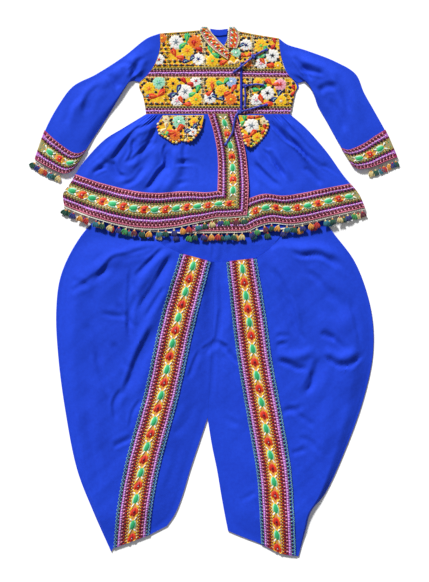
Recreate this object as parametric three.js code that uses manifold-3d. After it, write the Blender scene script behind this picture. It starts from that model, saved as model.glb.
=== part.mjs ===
// A child's kediyu and dhoti, laid flat: the long-sleeved, side-lapped top lies over the waist of the
// draped trousers. Millimetres; +X is the wearer's left, +Y points to the collar and +Z is up.
// The origin is on the surface, under the middle of the set.

import * as THREE from 'three';
import Module from 'manifold-3d';
import { mergeVertices } from 'three/addons/utils/BufferGeometryUtils.js';

const wasm = await Module();
wasm.setup();

// ---------------------------------------------------------------- driving dimensions

const CLOTH = 1.2; // wall of the blue cotton
const BAND = 1.2; // wall of a sewn-on lace band
const PATCH = 1.8; // wall of the embroidered patchwork
const SEAM = 0.3; // gap between two pieces at a seam
const LAYER = 1.15; // air between two layers of the skirt
const BAND_LIFT = BAND + SEAM; // what a band on the underside lifts the cloth by
const WALLS = 2 * CLOTH + SEAM; // a flattened leg or sleeve, at its edges
const FOLD_INSET = WALLS / 2; // a fold turns over within this distance of the outline

const DHOTI_RISE = 5.4; // height of the kediyu's underside where it lies on the dhoti
const RISE_SIDE_RUN = 80; // the rise fades over this distance at the sides
const RISE_TOP_RUN = 70; // and over this distance towards the waist
const RISE_TOP = 195; // level from which the rise is full

const YOKE_LAP = PATCH + 2 * SEAM; // lift of the over front on the bodice
const SKIRT_LAP = CLOTH + LAYER + BAND_LIFT; // lift of the over front on the skirt
const LAP_RUN = 24; // the lift grows over this distance
const LAP_LEAD = 9; // and is full this far before the under front's edge

const LEG_PUFF = 3.0; // height of the air caught in a leg
const SLEEVE_PUFF = 2.2; // and in a sleeve
const FLAP_RISE = 4.6; // height of a flap over the skirt's cloth
const CORD_RADIUS = 2.0; // of the ties

const CURVE_DIVISIONS = 80; // for measuring along a smooth line
const CREASE_DOTS = 14; // runs that a crease's line is measured by
const CREASE_TAPER = 0.25; // a crease fades out over this share of its length

const BLUE = 0x1f4fe0;
const BLUE_INSIDE = 0x1a3fc0;
const GOLD = 0xc9a94a;
const LACE = 0x9c4f6a;
const YARN = 0x2f5a6a;

// ---------------------------------------------------------------- shape tools

const clamp01 = (t) => Math.min(1, Math.max(0, t));
const soft = (t) => clamp01(t) ** 2 * (3 - 2 * clamp01(t));
const mix = (a, b, t) => a + (b - a) * t;

// A smooth line through [x, y] points, read by its share of the length.
function curve(points) {
  const knots = points.map(([x, y]) => new THREE.Vector3(x, y, 0));
  const path = new THREE.CatmullRomCurve3(knots, false, 'centripetal');
  path.arcLengthDivisions = CURVE_DIVISIONS;
  return (t) => path.getPointAt(clamp01(t));
}

// Straight runs between [x, y] points, each taking an equal share.
function runs(points) {
  return (t) => {
    const place = clamp01(t) * (points.length - 1);
    const k = Math.min(Math.floor(place), points.length - 2);
    const [[x0, y0], [x1, y1]] = [points[k], points[k + 1]];
    return new THREE.Vector2(mix(x0, x1, place - k), mix(y0, y1, place - k));
  };
}

// Two smooth lines end to end, meeting at the given share.
function joined(first, second, share) {
  const [a, b] = [curve(first), curve(second)];
  return (t) => (t <= share ? a(t / share) : b((t - share) / (1 - share)));
}

// The cloth between four edges: left and right run down, top and bottom run across.
function patch({ top, bottom, left, right }) {
  const line = (edge) => (Array.isArray(edge) ? curve(edge) : edge);
  const [t, b, l, r] = [top, bottom, left, right].map(line);
  const corner = { tl: t(0), tr: t(1), bl: b(0), br: b(1) };
  const blend = (u, v, axis) =>
    mix(l(v)[axis], r(v)[axis], u) + mix(t(u)[axis], b(u)[axis], v) -
    mix(mix(corner.tl[axis], corner.tr[axis], u), mix(corner.bl[axis], corner.br[axis], u), v);
  return (u, v) => [blend(u, v, 'x'), blend(u, v, 'y')];
}

const steps = (count) => Array.from({ length: count + 1 }, (_, k) => k / count);
const apart = (a, b) => Math.hypot(a[0] - b[0], a[1] - b[1]);

// Points of a patch, trimmed by half a seam at each edge. rowsAt gives each column's row shares.
function net(surface, columns, rowsAt, trim = { left: SEAM, right: SEAM, top: SEAM, bottom: SEAM }) {
  const count = rowsAt(0).length;
  return Array.from({ length: count }, (_, row) =>
    steps(columns).map((share) => {
      const v = rowsAt(share)[row];
      const width = apart(surface(0, v), surface(1, v));
      const height = apart(surface(share, 0), surface(share, 1));
      const u = mix(trim.left / 2 / width, 1 - trim.right / 2 / width, share);
      return surface(u, mix(trim.top / 2 / height, 1 - trim.bottom / 2 / height, v));
    }));
}

// Rows with one that falls on the upper edge of a band of the given width along the lower edge.
const bandRows = (surface, above, within, widthAt) => (u) => {
  const height = apart(surface(u, 0), surface(u, 1));
  const edge = 1 - widthAt(surface(u, 1)) / height;
  return [...steps(above).map((t) => t * edge), ...steps(within).slice(1).map((t) => mix(edge, 1, t))];
};

const part = (rows, fromRow, toRow, fromColumn = 0, toColumn = undefined) =>
  rows.slice(fromRow, toRow + 1).map((row) => row.slice(fromColumn, toColumn));

const sideBySide = (...nets) => nets[0].map((row, k) =>
  nets.flatMap((piece, n) => (n ? piece[k].slice(1) : piece[k])));

// Gives every point of a net its height.
const laid = (rows, heightAt) => rows.map((row, r) =>
  row.map(([x, y], c) => [x, y, heightAt(x, y, r / (rows.length - 1), c / (row.length - 1))]));

const moved = (rows, rise) => rows.map((row) => row.map(([x, y, z]) => [x, y, z + rise]));

// One closed body between two nets of the same layout. A ring net closes on its first column.
function body(one, other, ring = false) {
  const [rows, columns] = [one.length, one[0].length];
  const position = [...one, ...other].flat(2);
  const at = (side, row, column) => (side * rows + row) * columns + (column % columns);
  const index = [];
  const quad = (a, b, c, d) => index.push(a, b, c, a, c, d);
  const across = ring ? columns : columns - 1;
  for (let r = 0; r < rows - 1; r += 1) {
    for (let c = 0; c < across; c += 1) {
      quad(at(1, r, c), at(1, r + 1, c), at(1, r + 1, c + 1), at(1, r, c + 1));
      quad(at(0, r, c), at(0, r, c + 1), at(0, r + 1, c + 1), at(0, r + 1, c));
    }
    if (!ring) {
      quad(at(0, r, 0), at(0, r + 1, 0), at(1, r + 1, 0), at(1, r, 0));
      const last = columns - 1;
      quad(at(1, r, last), at(1, r + 1, last), at(0, r + 1, last), at(0, r, last));
    }
  }
  for (let c = 0; c < across; c += 1) {
    quad(at(0, 0, c), at(1, 0, c), at(1, 0, c + 1), at(0, 0, c + 1));
    quad(at(1, rows - 1, c), at(0, rows - 1, c), at(0, rows - 1, c + 1), at(1, rows - 1, c + 1));
  }
  return facingOut(position, index);
}

function facingOut(position, index) {
  let volume = 0;
  const [a, b, c] = [new THREE.Vector3(), new THREE.Vector3(), new THREE.Vector3()];
  for (let k = 0; k < index.length; k += 3) {
    a.fromArray(position, 3 * index[k]);
    b.fromArray(position, 3 * index[k + 1]);
    c.fromArray(position, 3 * index[k + 2]);
    volume += a.dot(b.cross(c));
  }
  const geometry = new THREE.BufferGeometry();
  geometry.setAttribute('position', new THREE.Float32BufferAttribute(position, 3));
  geometry.setIndex(volume < 0 ? index.toReversed() : index);
  return geometry;
}

const sheet = (rows, thickness) => body(rows, moved(rows, thickness));

// Soft folds along short lines. height < 0 is a trough; rooted folds start at their full height.
function creases(table) {
  const lines = table.map((row) => {
    const line = curve([row.from, row.via, row.to]);
    return { ...row, dots: steps(CREASE_DOTS).map((t) => line(t)) };
  });
  return (x, y) => lines.reduce((total, { dots, width, height, rooted }) => {
    let best = { distance: Infinity, t: 0 };
    for (let k = 0; k < dots.length - 1; k += 1) {
      const [p, q] = [dots[k], dots[k + 1]];
      const run = (q.x - p.x) ** 2 + (q.y - p.y) ** 2;
      const along = clamp01(((x - p.x) * (q.x - p.x) + (y - p.y) * (q.y - p.y)) / run);
      const distance = Math.hypot(x - mix(p.x, q.x, along), y - mix(p.y, q.y, along));
      if (distance < best.distance) best = { distance, t: (k + along) / (dots.length - 1) };
    }
    const start = rooted ? 1 : soft(best.t / CREASE_TAPER);
    const end = soft((1 - best.t) / CREASE_TAPER);
    return total + height * start * end * soft(1 - best.distance / width);
  }, 0);
}

const group = new THREE.Group();

function add(name, geometry, color, roughness = 0.85) {
  const mesh = new THREE.Mesh(geometry, new THREE.MeshStandardMaterial({ color, roughness, metalness: 0 }));
  mesh.name = name;
  group.add(mesh);
}

// ---------------------------------------------------------------- dhoti

// The trousers' half width under the kediyu, by level, with a margin.
const DHOTI_REACH = [
  { y: 200, half: 130 }, { y: 168, half: 194 }, { y: 157, half: 228 },
  { y: 135, half: 262 }, { y: 110, half: 284 }, { y: 80, half: 300 },
];

const WAISTBAND = { left: -126, right: 122, top: 191, bottom: 163, wall: 1.5, rise: 4.2 };

const CENTRE_SEAM = [[0, 59], [-4, -50], [-8, -150], [-15, -253]];
const CROTCH_SHARE = 11 / 18; // of the rows lie above the crotch

const LEGS = {
  right: {
    inseam: [[-15, -253], [-34, -309], [-50, -357], [-66, -410], [-80, -445], [-96, -469]],
    bandInner: [[-8, 60], [-41, -69], [-73, -211], [-111, -355], [-126, -439], [-131, -487]],
    bandOuter: [[-70, 77], [-109, -52], [-140, -195], [-179, -339], [-196, -430], [-204, -514]],
    side: [[-144, 157], [-176, 165], [-214, 157], [-248, 135], [-284, 87], [-310, 27], [-318, -40],
      [-314, -129], [-300, -237], [-276, -357], [-244, -440], [-208, -521]],
    tops: [[[0, 59], [-8, 60]], [[-8, 60], [-70, 77]],
      [[-70, 77], [-102, 92], [-126, 111], [-140, 134], [-144, 157]]],
    hems: [[[-96, -469], [-131, -487]], [[-131, -487], [-168, -501], [-204, -514]],
      [[-204, -514], [-208, -521]]],
  },
  left: {
    inseam: [[-15, -253], [-6, -309], [4, -357], [12, -405], [20, -449], [26, -479]],
    bandInner: [[22, 60], [35, -63], [46, -146], [65, -257], [83, -365], [88, -430], [92, -505]],
    bandOuter: [[83, 67], [103, -55], [114, -136], [134, -245], [152, -355], [158, -440], [162, -529]],
    side: [[142, 157], [172, 165], [208, 153], [242, 111], [278, 63], [302, 5], [316, -60],
      [316, -129], [298, -213], [264, -309], [220, -405], [192, -441], [182, -475], [167, -530]],
    tops: [[[0, 59], [22, 60]], [[22, 60], [83, 67]],
      [[83, 67], [108, 84], [128, 107], [139, 132], [142, 157]]],
    hems: [[[26, -479], [50, -489], [92, -505]], [[92, -505], [134, -525], [162, -529]],
      [[162, -529], [167, -530]]],
  },
};

const LEG_ROWS = 18;
const LEG_COLUMNS = [3, 3, 8]; // inner cloth, band, outer cloth
const BACK_COLUMNS = [0, 3, 6, 8, 10, 12, 14]; // front columns that the back's coarser net repeats

const LEG_FOLDS = {
  right: [
    { from: [-98, 98], via: [-150, 82], to: [-212, 60], width: 20, height: 3.4, rooted: true },
    { from: [-112, 82], via: [-140, 52], to: [-166, 22], width: 17, height: -2.6 },
    { from: [-84, 80], via: [-124, 20], to: [-166, -46], width: 20, height: 3.6, rooted: true },
    { from: [-96, 30], via: [-116, -6], to: [-142, -44], width: 15, height: -3.0 },
    { from: [-100, -18], via: [-144, -100], to: [-182, -204], width: 20, height: -3.2 },
    { from: [-70, -10], via: [-128, -66], to: [-160, -150], width: 22, height: 2.6 },
    { from: [-234, -50], via: [-200, -54], to: [-176, -50], width: 14, height: -2.2 },
    { from: [-198, -120], via: [-192, -138], to: [-184, -156], width: 16, height: -2.0 },
    { from: [-250, 60], via: [-276, -20], to: [-268, -150], width: 44, height: 2.0 },
  ],
  left: [
    { from: [130, 112], via: [160, 90], to: [206, 66], width: 18, height: -3.0 },
    { from: [124, 98], via: [166, 70], to: [228, 50], width: 18, height: 3.6, rooted: true },
    { from: [134, 78], via: [164, 70], to: [230, 34], width: 15, height: -2.6 },
    { from: [104, 78], via: [150, 10], to: [168, -70], width: 22, height: 2.6, rooted: true },
    { from: [200, 46], via: [240, 10], to: [258, -80], width: 22, height: -2.0 },
    { from: [122, -140], via: [172, -158], to: [230, -128], width: 17, height: -3.2 },
    { from: [176, -110], via: [222, -136], to: [256, -146], width: 15, height: -2.4 },
    { from: [120, -106], via: [170, -118], to: [236, -96], width: 20, height: 2.8 },
    { from: [168, -176], via: [152, -200], to: [136, -222], width: 18, height: -2.2 },
    { from: [262, -40], via: [276, -110], to: [250, -220], width: 44, height: 2.0 },
  ],
};

const CROTCH_FOLDS = [
  { from: [8, -60], via: [-3, -102], to: [-28, -122], width: 13, height: -2.4 },
  { from: [2, -64], via: [6, -104], to: [26, -118], width: 13, height: -2.4 },
];

// The cloth lies low under the kediyu and comes up below its hem.
const KEDIYU_HEM = { y: 112, run: 40 };
const belowHem = (y) => soft((KEDIYU_HEM.y - y) / KEDIYU_HEM.run);

// The air in a leg fades out over these shares of it, and a fold keeps some of its height at the hem.
const LEG_FADE = { inner: 0.286, side: 0.167, hem: 0.111, foldAtHem: 0.35 };

function legTop(side) {
  const folds = creases([...LEG_FOLDS[side], ...CROTCH_FOLDS]);
  return (x, y, v, u) => {
    const across = soft(u / LEG_FADE.inner) * soft((1 - u) / LEG_FADE.side);
    const puffed = across * soft((1 - v) / LEG_FADE.hem);
    const folded = folds(x, y) * Math.max(puffed, across * LEG_FADE.foldAtHem);
    return WALLS + belowHem(y) * Math.max(0, LEG_PUFF * puffed + folded);
  };
}

function legNet(side) {
  const leg = LEGS[side];
  const centre = joined(CENTRE_SEAM, leg.inseam, CROTCH_SHARE);
  const seams = [centre, leg.bandInner, leg.bandOuter, leg.side];
  const strips = LEG_COLUMNS.map((columns, k) => {
    const edges = { top: runs(leg.tops[k]), bottom: leg.hems[k], left: seams[k], right: seams[k + 1] };
    const surface = patch(edges);
    const trim = { left: k ? 0 : SEAM, right: 0, top: SEAM, bottom: 0 };
    return net(surface, columns, () => steps(LEG_ROWS), trim);
  });
  return sideBySide(...strips);
}

// Front, side fold and back in one piece of cloth, open along its centre and inner edges.
function dhotiLeg(side) {
  const flat = legNet(side);
  const topAt = legTop(side);
  const last = flat[0].length - 1;
  const front = laid(flat, topAt).map((row) => {
    const [edge, next] = [row[last], row[last - 1]];
    const share = FOLD_INSET / apart(edge, next);
    return [...row.slice(0, last), [mix(edge[0], next[0], share), mix(edge[1], next[1], share), WALLS]];
  });
  const wall = (depth) => front.map((row, r) => {
    const [edge, next] = [flat[r][last], flat[r][last - 1]];
    const share = depth / apart(edge, next);
    const turn = [mix(edge[0], next[0], share), mix(edge[1], next[1], share), WALLS / 2];
    const back = BACK_COLUMNS.toReversed().map((c) => [row[c][0], row[c][1], depth]);
    return [...row.map(([x, y, z]) => [x, y, z - depth]), turn, ...back];
  });
  add(`dhoti_leg_${side}`, body(wall(0), wall(CLOTH)), BLUE);

  const bandStart = LEG_COLUMNS[0];
  const bandEnd = bandStart + LEG_COLUMNS[1] + 1;
  const onLeg = moved(part(front, 0, LEG_ROWS, bandStart, bandEnd), SEAM);
  add(`dhoti_band_${side}`, sheet(onLeg, BAND), LACE);
}

dhotiLeg('right');
dhotiLeg('left');

const YOKE_ROWS = 3;
const YOKE_EDGE = [...LEGS.right.tops.flat().toReversed(), ...LEGS.left.tops.flat()]
  .filter((point, k, all) => !k || apart(point, all[k - 1]) > 1);

const dhotiYoke = patch({
  top: [[WAISTBAND.left, WAISTBAND.bottom], [WAISTBAND.right, WAISTBAND.bottom]],
  bottom: runs(YOKE_EDGE),
  left: [[WAISTBAND.left, WAISTBAND.bottom], YOKE_EDGE[0]],
  right: [[WAISTBAND.right, WAISTBAND.bottom], YOKE_EDGE.at(-1)],
});
const yokeTrim = { left: 0, right: 0, top: SEAM, bottom: SEAM };
const yokeNet = net(dhotiYoke, YOKE_EDGE.length - 1, () => steps(YOKE_ROWS), yokeTrim);
add('dhoti_yoke_back', sheet(laid(yokeNet, () => 0), CLOTH), BLUE);
add('dhoti_yoke_front', sheet(laid(yokeNet, () => CLOTH + SEAM), CLOTH), BLUE);

// Elastic casing: a flattened ring with fine gathers across its front.
const GATHERS = 10;
const GATHER_HEIGHT = 0.25;
const CASING_STEPS = 4 * GATHERS;
const casing = steps(CASING_STEPS).slice(1).map((t) => {
  const angle = 2 * Math.PI * t;
  const gather = GATHER_HEIGHT * Math.sin(GATHERS * angle);
  const half = 0.5 * WAISTBAND.rise * Math.sign(Math.sin(angle));
  return { across: 0.5 + 0.5 * Math.cos(angle), half, gather };
});
const casingWall = (inset) => [WAISTBAND.top, WAISTBAND.bottom].map((y) => casing.map((dot) => {
  const x = mix(WAISTBAND.left + inset, WAISTBAND.right - inset, dot.across);
  const half = dot.half ? dot.half - Math.sign(dot.half) * inset : 0;
  const ripple = half > 0 ? dot.gather : 0;
  return [x, y, 0.5 * WAISTBAND.rise + half + ripple];
}));
add('dhoti_waistband', body(casingWall(0), casingWall(WAISTBAND.wall), true), BLUE);

// ---------------------------------------------------------------- how the kediyu lies

const between = (table, key, value, at) => {
  const upper = table.findIndex((row) => row[key] <= at);
  if (upper <= 0) return table[upper < 0 ? table.length - 1 : 0][value];
  const [a, b] = [table[upper - 1], table[upper]];
  return mix(a[value], b[value], (a[key] - at) / (a[key] - b[key]));
};

// Height of the surface or the dhoti under the kediyu.
const bed = (x, y) => {
  const side = between(DHOTI_REACH, 'y', 'half', y) + RISE_SIDE_RUN - Math.abs(x);
  return DHOTI_RISE * soft(side / RISE_SIDE_RUN) * soft((RISE_TOP + RISE_TOP_RUN - y) / RISE_TOP_RUN);
};

// The back's hem rises from its middle to its sides, and its cloth comes up onto the band under it.
const BACK_HEM = { middle: 121, rise: 52, half: 300, power: 2.3 };
const BACK_BAND = { width: 56, lead: 58, run: 46 };
const backHemLevel = (x) => BACK_HEM.middle + BACK_HEM.rise * (Math.abs(x) / BACK_HEM.half) ** BACK_HEM.power;
const hemZone = (x, y) => soft((backHemLevel(x) + BACK_BAND.width + BACK_BAND.lead - y) / BACK_BAND.run);
const skirtBackUnder = (x, y) => bed(x, y) + BAND_LIFT * hemZone(x, y);
const skirtFrontUnder = (x, y) => skirtBackUnder(x, y) + CLOTH + LAYER;

// The under front's hidden edge, which the over front climbs over.
const UNDER_EDGE = [
  { y: 524, x: 34 }, { y: 471, x: 6 }, { y: 446, x: -20 }, { y: 355, x: -30 }, { y: 121, x: -46 },
];
const lap = (x, y) => soft((x - between(UNDER_EDGE, 'y', 'x', y) + LAP_LEAD + LAP_RUN) / LAP_RUN);
const yokeOverUnder = (x, y) => CLOTH + SEAM + YOKE_LAP * lap(x, y);
const skirtOverUnder = (x, y) => skirtFrontUnder(x, y) + SKIRT_LAP * lap(x, y);

// ---------------------------------------------------------------- bodice

const WAIST = 355;
const ARMHOLES = {
  right: [[-110, 517], [-110, 487], [-117, 462], [-131, 438], [-150, 419]],
  left: [[128, 507], [130, 483], [135, 460], [146, 434], [166, 417]],
};
const SIDES = {
  right: [[-150, 419], [-152, 408], [-146, 396], [-141, 378], [-138, WAIST]],
  left: [[166, 417], [168, 409], [161, 399], [158, 385], [150, WAIST]],
};
const BODICE_ROWS = 9;
const ARMHOLE_SHARE = 6 / 9; // of the back's rows lie along the armhole, one for each sleeve column
const OVER_EDGE = 50; // the over front's edge, to the wearer's left of the middle

const bodiceBack = patch({
  top: [[-110, 517], [-66, 520], [-24, 523], [4, 520], [34, 523], [80, 515], [128, 507]],
  bottom: [[-138, WAIST], [150, WAIST]],
  left: joined(ARMHOLES.right, SIDES.right, ARMHOLE_SHARE),
  right: joined(ARMHOLES.left, SIDES.left, ARMHOLE_SHARE),
});
add('bodice_back', sheet(laid(net(bodiceBack, 8, () => steps(BODICE_ROWS)), () => 0), CLOTH), BLUE_INSIDE);

// Patchwork and bands of the two fronts, from the shoulder down. The right front laps over the left.
const FRONT_PIECES = [
  {
    name: 'yoke_right', under: yokeOverUnder, rows: 6,
    top: [[-110, 517], [-66, 520], [-24, 524]], bottom: [[-125, 447], [OVER_EDGE, 449]],
    left: [[-110, 517], [-110, 487], [-117, 462], [-125, 447]],
    right: [[-24, 524], [4, 495], [28, 477], [OVER_EDGE, 462], [OVER_EDGE, 449]],
  },
  {
    name: 'chest_band_right', under: yokeOverUnder, rows: 1,
    top: [[-125, 447], [OVER_EDGE, 449]], bottom: [[-138, 430], [OVER_EDGE, 429]],
    left: [[-125, 447], [-138, 430]], right: [[OVER_EDGE, 449], [OVER_EDGE, 429]],
  },
  {
    name: 'chest_patch_right', under: yokeOverUnder, rows: 5,
    top: [[-138, 430], [OVER_EDGE, 429]], bottom: [[-140, 370], [OVER_EDGE, 370]],
    left: [[-138, 430], [-150, 419], [-152, 408], [-146, 396], [-140, 370]],
    right: [[OVER_EDGE, 429], [OVER_EDGE, 370]],
  },
  {
    name: 'waist_band_right', under: yokeOverUnder, rows: 1,
    top: [[-140, 370], [OVER_EDGE, 370]], bottom: [[-138, WAIST], [OVER_EDGE, WAIST]],
    left: [[-140, 370], [-138, WAIST]], right: [[OVER_EDGE, 370], [OVER_EDGE, WAIST]],
  },
  {
    name: 'yoke_left', under: () => CLOTH + SEAM, rows: 6,
    top: [[34, 524], [80, 515], [128, 507]], bottom: [[-20, 446], [140, 444]],
    left: [[34, 524], [6, 471], [-20, 446]], right: [[128, 507], [130, 483], [134, 462], [140, 444]],
  },
  {
    name: 'chest_band_left', under: () => CLOTH + SEAM, rows: 1,
    top: [[-20, 446], [140, 444]], bottom: [[-22, 430], [151, 428]],
    left: [[-20, 446], [-22, 430]], right: [[140, 444], [151, 428]],
  },
  {
    name: 'chest_patch_left', under: () => CLOTH + SEAM, rows: 5,
    top: [[-22, 430], [151, 428]], bottom: [[-28, 370], [154, 370]],
    left: [[-22, 430], [-28, 370]],
    right: [[151, 428], [161, 417], [164, 409], [160, 399], [157, 385], [154, 370]],
  },
  {
    name: 'waist_band_left', under: () => CLOTH + SEAM, rows: 1,
    top: [[-28, 370], [154, 370]], bottom: [[-30, WAIST], [150, WAIST]],
    left: [[-28, 370], [-30, WAIST]], right: [[154, 370], [150, WAIST]],
  },
];
const FRONT_COLUMNS = 10;
for (const piece of FRONT_PIECES) {
  const flat = net(patch(piece), FRONT_COLUMNS, () => steps(piece.rows));
  add(piece.name, sheet(laid(flat, piece.under), PATCH), piece.rows > 1 ? GOLD : LACE);
}

const PIPING = { inner: OVER_EDGE, outer: OVER_EDGE + 5, top: 458, bottom: WAIST + 1 };
const piping = patch({
  top: [[PIPING.inner, PIPING.top], [PIPING.outer, PIPING.top]],
  bottom: [[PIPING.inner, PIPING.bottom], [PIPING.outer, PIPING.bottom]],
  left: [[PIPING.inner, PIPING.top], [PIPING.inner, PIPING.bottom]],
  right: [[PIPING.outer, PIPING.top], [PIPING.outer, PIPING.bottom]],
});
add('placket_piping', sheet(laid(net(piping, 1, () => steps(4)), yokeOverUnder), PATCH), BLUE);

// Stand collar, pressed flat: its two front ends meet at the lap, and its back shows inside the neck.
const COLLAR_LEAD = 5; // the collar starts to climb the lap this far before the yoke under it
const COLLARS = [
  {
    name: 'collar_right', color: GOLD,
    under: (x, y) => yokeOverUnder(x + COLLAR_LEAD, y) + PATCH + 2 * SEAM,
    top: [[-32, 521], [-27, 529], [-16, 530]], bottom: [[26, 463], [28, 481]],
    left: [[-32, 521], [-18, 499], [2, 479], [26, 463]],
    right: [[-16, 530], [-5, 516], [9, 500], [28, 481]],
  },
  {
    name: 'collar_left', under: () => CLOTH + SEAM + PATCH + SEAM, color: GOLD,
    top: [[28, 530], [38, 530], [46, 522]], bottom: [[25, 488], [44, 486]],
    left: [[28, 530], [25, 511], [25, 488]], right: [[46, 522], [50, 504], [44, 486]],
  },
  {
    name: 'collar_back', under: () => CLOTH + SEAM, color: BLUE_INSIDE,
    top: [[-10, 526], [8, 524], [26, 526]], bottom: [[-8, 514], [8, 512], [23, 514]],
    left: [[-10, 526], [-8, 514]], right: [[26, 526], [23, 514]],
  },
];
for (const collar of COLLARS) {
  add(collar.name, sheet(laid(net(patch(collar), 3, () => steps(6)), collar.under), PATCH), collar.color);
}

// ---------------------------------------------------------------- sleeves and cuffs

const SLEEVES = {
  right: {
    outer: [[-110, 517], [-136, 507], [-182, 471], [-238, 435], [-284, 411], [-312, 375], [-338, 327],
      [-360, 265]],
    under: [[-150, 419], [-166, 421], [-182, 411], [-200, 375], [-222, 339], [-246, 303], [-268, 267],
      [-278, 250]],
    end: [[-360, 265], [-340, 252], [-318, 241], [-302, 236], [-288, 240], [-278, 250]],
    bandOuter: 58, bandUnder: 38,
    folds: [
      { from: [-176, 470], via: [-164, 448], to: [-180, 424], width: 15, height: 2.0, rooted: true },
      { from: [-200, 446], via: [-188, 428], to: [-190, 408], width: 14, height: -2.0 },
      { from: [-150, 490], via: [-200, 440], to: [-262, 372], width: 26, height: 1.4 },
      { from: [-224, 420], via: [-252, 390], to: [-262, 350], width: 16, height: -1.4 },
    ],
  },
  left: {
    outer: [[128, 507], [144, 495], [182, 483], [244, 459], [282, 435], [298, 399], [318, 363], [344, 315],
      [364, 269]],
    under: [[166, 417], [182, 420], [195, 407], [204, 375], [224, 339], [244, 303], [266, 267], [276, 251]],
    end: [[364, 269], [346, 262], [326, 253], [306, 247], [288, 245], [276, 251]],
    bandOuter: 56, bandUnder: 40,
    folds: [
      { from: [150, 476], via: [186, 446], to: [214, 400], width: 18, height: 1.8, rooted: true },
      { from: [166, 464], via: [180, 440], to: [192, 418], width: 14, height: -2.0 },
      { from: [236, 440], via: [256, 400], to: [270, 352], width: 20, height: -1.6 },
      { from: [200, 456], via: [240, 420], to: [284, 350], width: 24, height: 1.2 },
    ],
  },
};
const SLEEVE_COLUMNS = 6;
const SLEEVE_ROWS = 11;
const CUFF_ROWS = 2;
const CUFF_START = SLEEVE_ROWS / (SLEEVE_ROWS + CUFF_ROWS);

// In shares of the sleeve: the cloth rises onto the cuff's band, its air fades towards the edges and the
// armhole, and it lies calmer at the cuff.
const CUFF_RISE = { lead: 0.16, run: 0.15 };
const SLEEVE_FADE = { edge: 0.333, armhole: 0.167 };
const CUFF_CALM = { past: 0.04, run: 0.2, left: 0.3 };

// Rings round a flattened sleeve, moved out by a distance from the cloth's outer face.
function sleeveRings(side, flat) {
  const folds = creases(SLEEVES[side].folds);
  const last = SLEEVE_COLUMNS;
  return (out) => flat.map((row, r) => {
    const v = r / (flat.length - 1);
    const lift = BAND_LIFT * soft((v - CUFF_START + CUFF_RISE.lead) / CUFF_RISE.run);
    const free = mix(CUFF_CALM.left, 1, soft((CUFF_START + CUFF_CALM.past - v) / CUFF_CALM.run));
    const turn = (edge, next) => {
      const share = -out / apart(edge, next);
      return [mix(edge[0], next[0], share), mix(edge[1], next[1], share), lift + WALLS / 2];
    };
    const inset = (edge, next) => {
      const share = FOLD_INSET / apart(edge, next);
      return [mix(edge[0], next[0], share), mix(edge[1], next[1], share)];
    };
    const line = [inset(row[0], row[1]), ...row.slice(1, last), inset(row[last], row[last - 1])];
    const upper = line.map(([x, y], c) => {
      const across = soft(c / last / SLEEVE_FADE.edge) * soft((1 - c / last) / SLEEVE_FADE.edge);
      const bulge = across * soft(v / SLEEVE_FADE.armhole);
      const puff = Math.max(0, bulge * (SLEEVE_PUFF + folds(x, y)) * free);
      return [x, y, lift + WALLS + puff + out];
    });
    const lower = line.toReversed().map(([x, y]) => [x, y, lift - out]);
    return [...upper, turn(row[last], row[last - 1]), ...lower, turn(row[0], row[1])];
  });
}

const cuffEnds = {};

function sleeve(side) {
  const { outer, under, end, bandOuter, bandUnder } = SLEEVES[side];
  const surface = patch({ top: ARMHOLES[side], bottom: end, left: outer, right: under });
  const widthAt = (u) => mix(bandOuter, bandUnder, u);
  const rowsAt = (u) => {
    const edge = 1 - widthAt(u) / apart(surface(u, 0), surface(u, 1));
    const band = steps(CUFF_ROWS).slice(1).map((t) => mix(edge, 1, t));
    return [...steps(SLEEVE_ROWS).map((t) => t * edge), ...band];
  };
  const flat = net(surface, SLEEVE_COLUMNS, rowsAt, { left: 0, right: 0, top: 4 * SEAM, bottom: 0 });
  const rings = sleeveRings(side, flat);
  cuffEnds[side] = flat.at(-1);
  add(`sleeve_${side}`, body(rings(0), rings(-CLOTH), true), BLUE);
  const cuff = (out) => rings(out).slice(SLEEVE_ROWS);
  add(`cuff_band_${side}`, body(cuff(SEAM + BAND), cuff(SEAM), true), LACE);
}

sleeve('right');
sleeve('left');

// ---------------------------------------------------------------- skirt

const SKIRT_TOP = WAIST;
const SKIRT_SIDES = {
  right: [[-138, SKIRT_TOP], [-184, 327], [-222, 303], [-266, 255], [-288, 219], [-304, 195], [-302, 173]],
  left: [[150, SKIRT_TOP], [182, 327], [224, 279], [258, 231], [288, 195], [300, 168]],
};
const skirtBack = patch({
  top: [[-138, SKIRT_TOP], [150, SKIRT_TOP]],
  bottom: [[-302, 173], [-240, 149], [-182, 131], [-130, 123], [-50, 119], [40, 120], [150, 130],
    [230, 149], [300, 168]],
  left: SKIRT_SIDES.right,
  right: SKIRT_SIDES.left,
});
const BACK_ROWS = 8;
const HEM_ROWS = 2;
const backRows = bandRows(skirtBack, BACK_ROWS, HEM_ROWS, () => BACK_BAND.width);
const backCloth = laid(net(skirtBack, 18, backRows), skirtBackUnder);
add('skirt_back', sheet(backCloth, CLOTH), BLUE);
const underBack = moved(part(backCloth, BACK_ROWS, BACK_ROWS + HEM_ROWS), -BAND_LIFT);
add('skirt_back_band', sheet(underBack, BAND), LACE);

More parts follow.
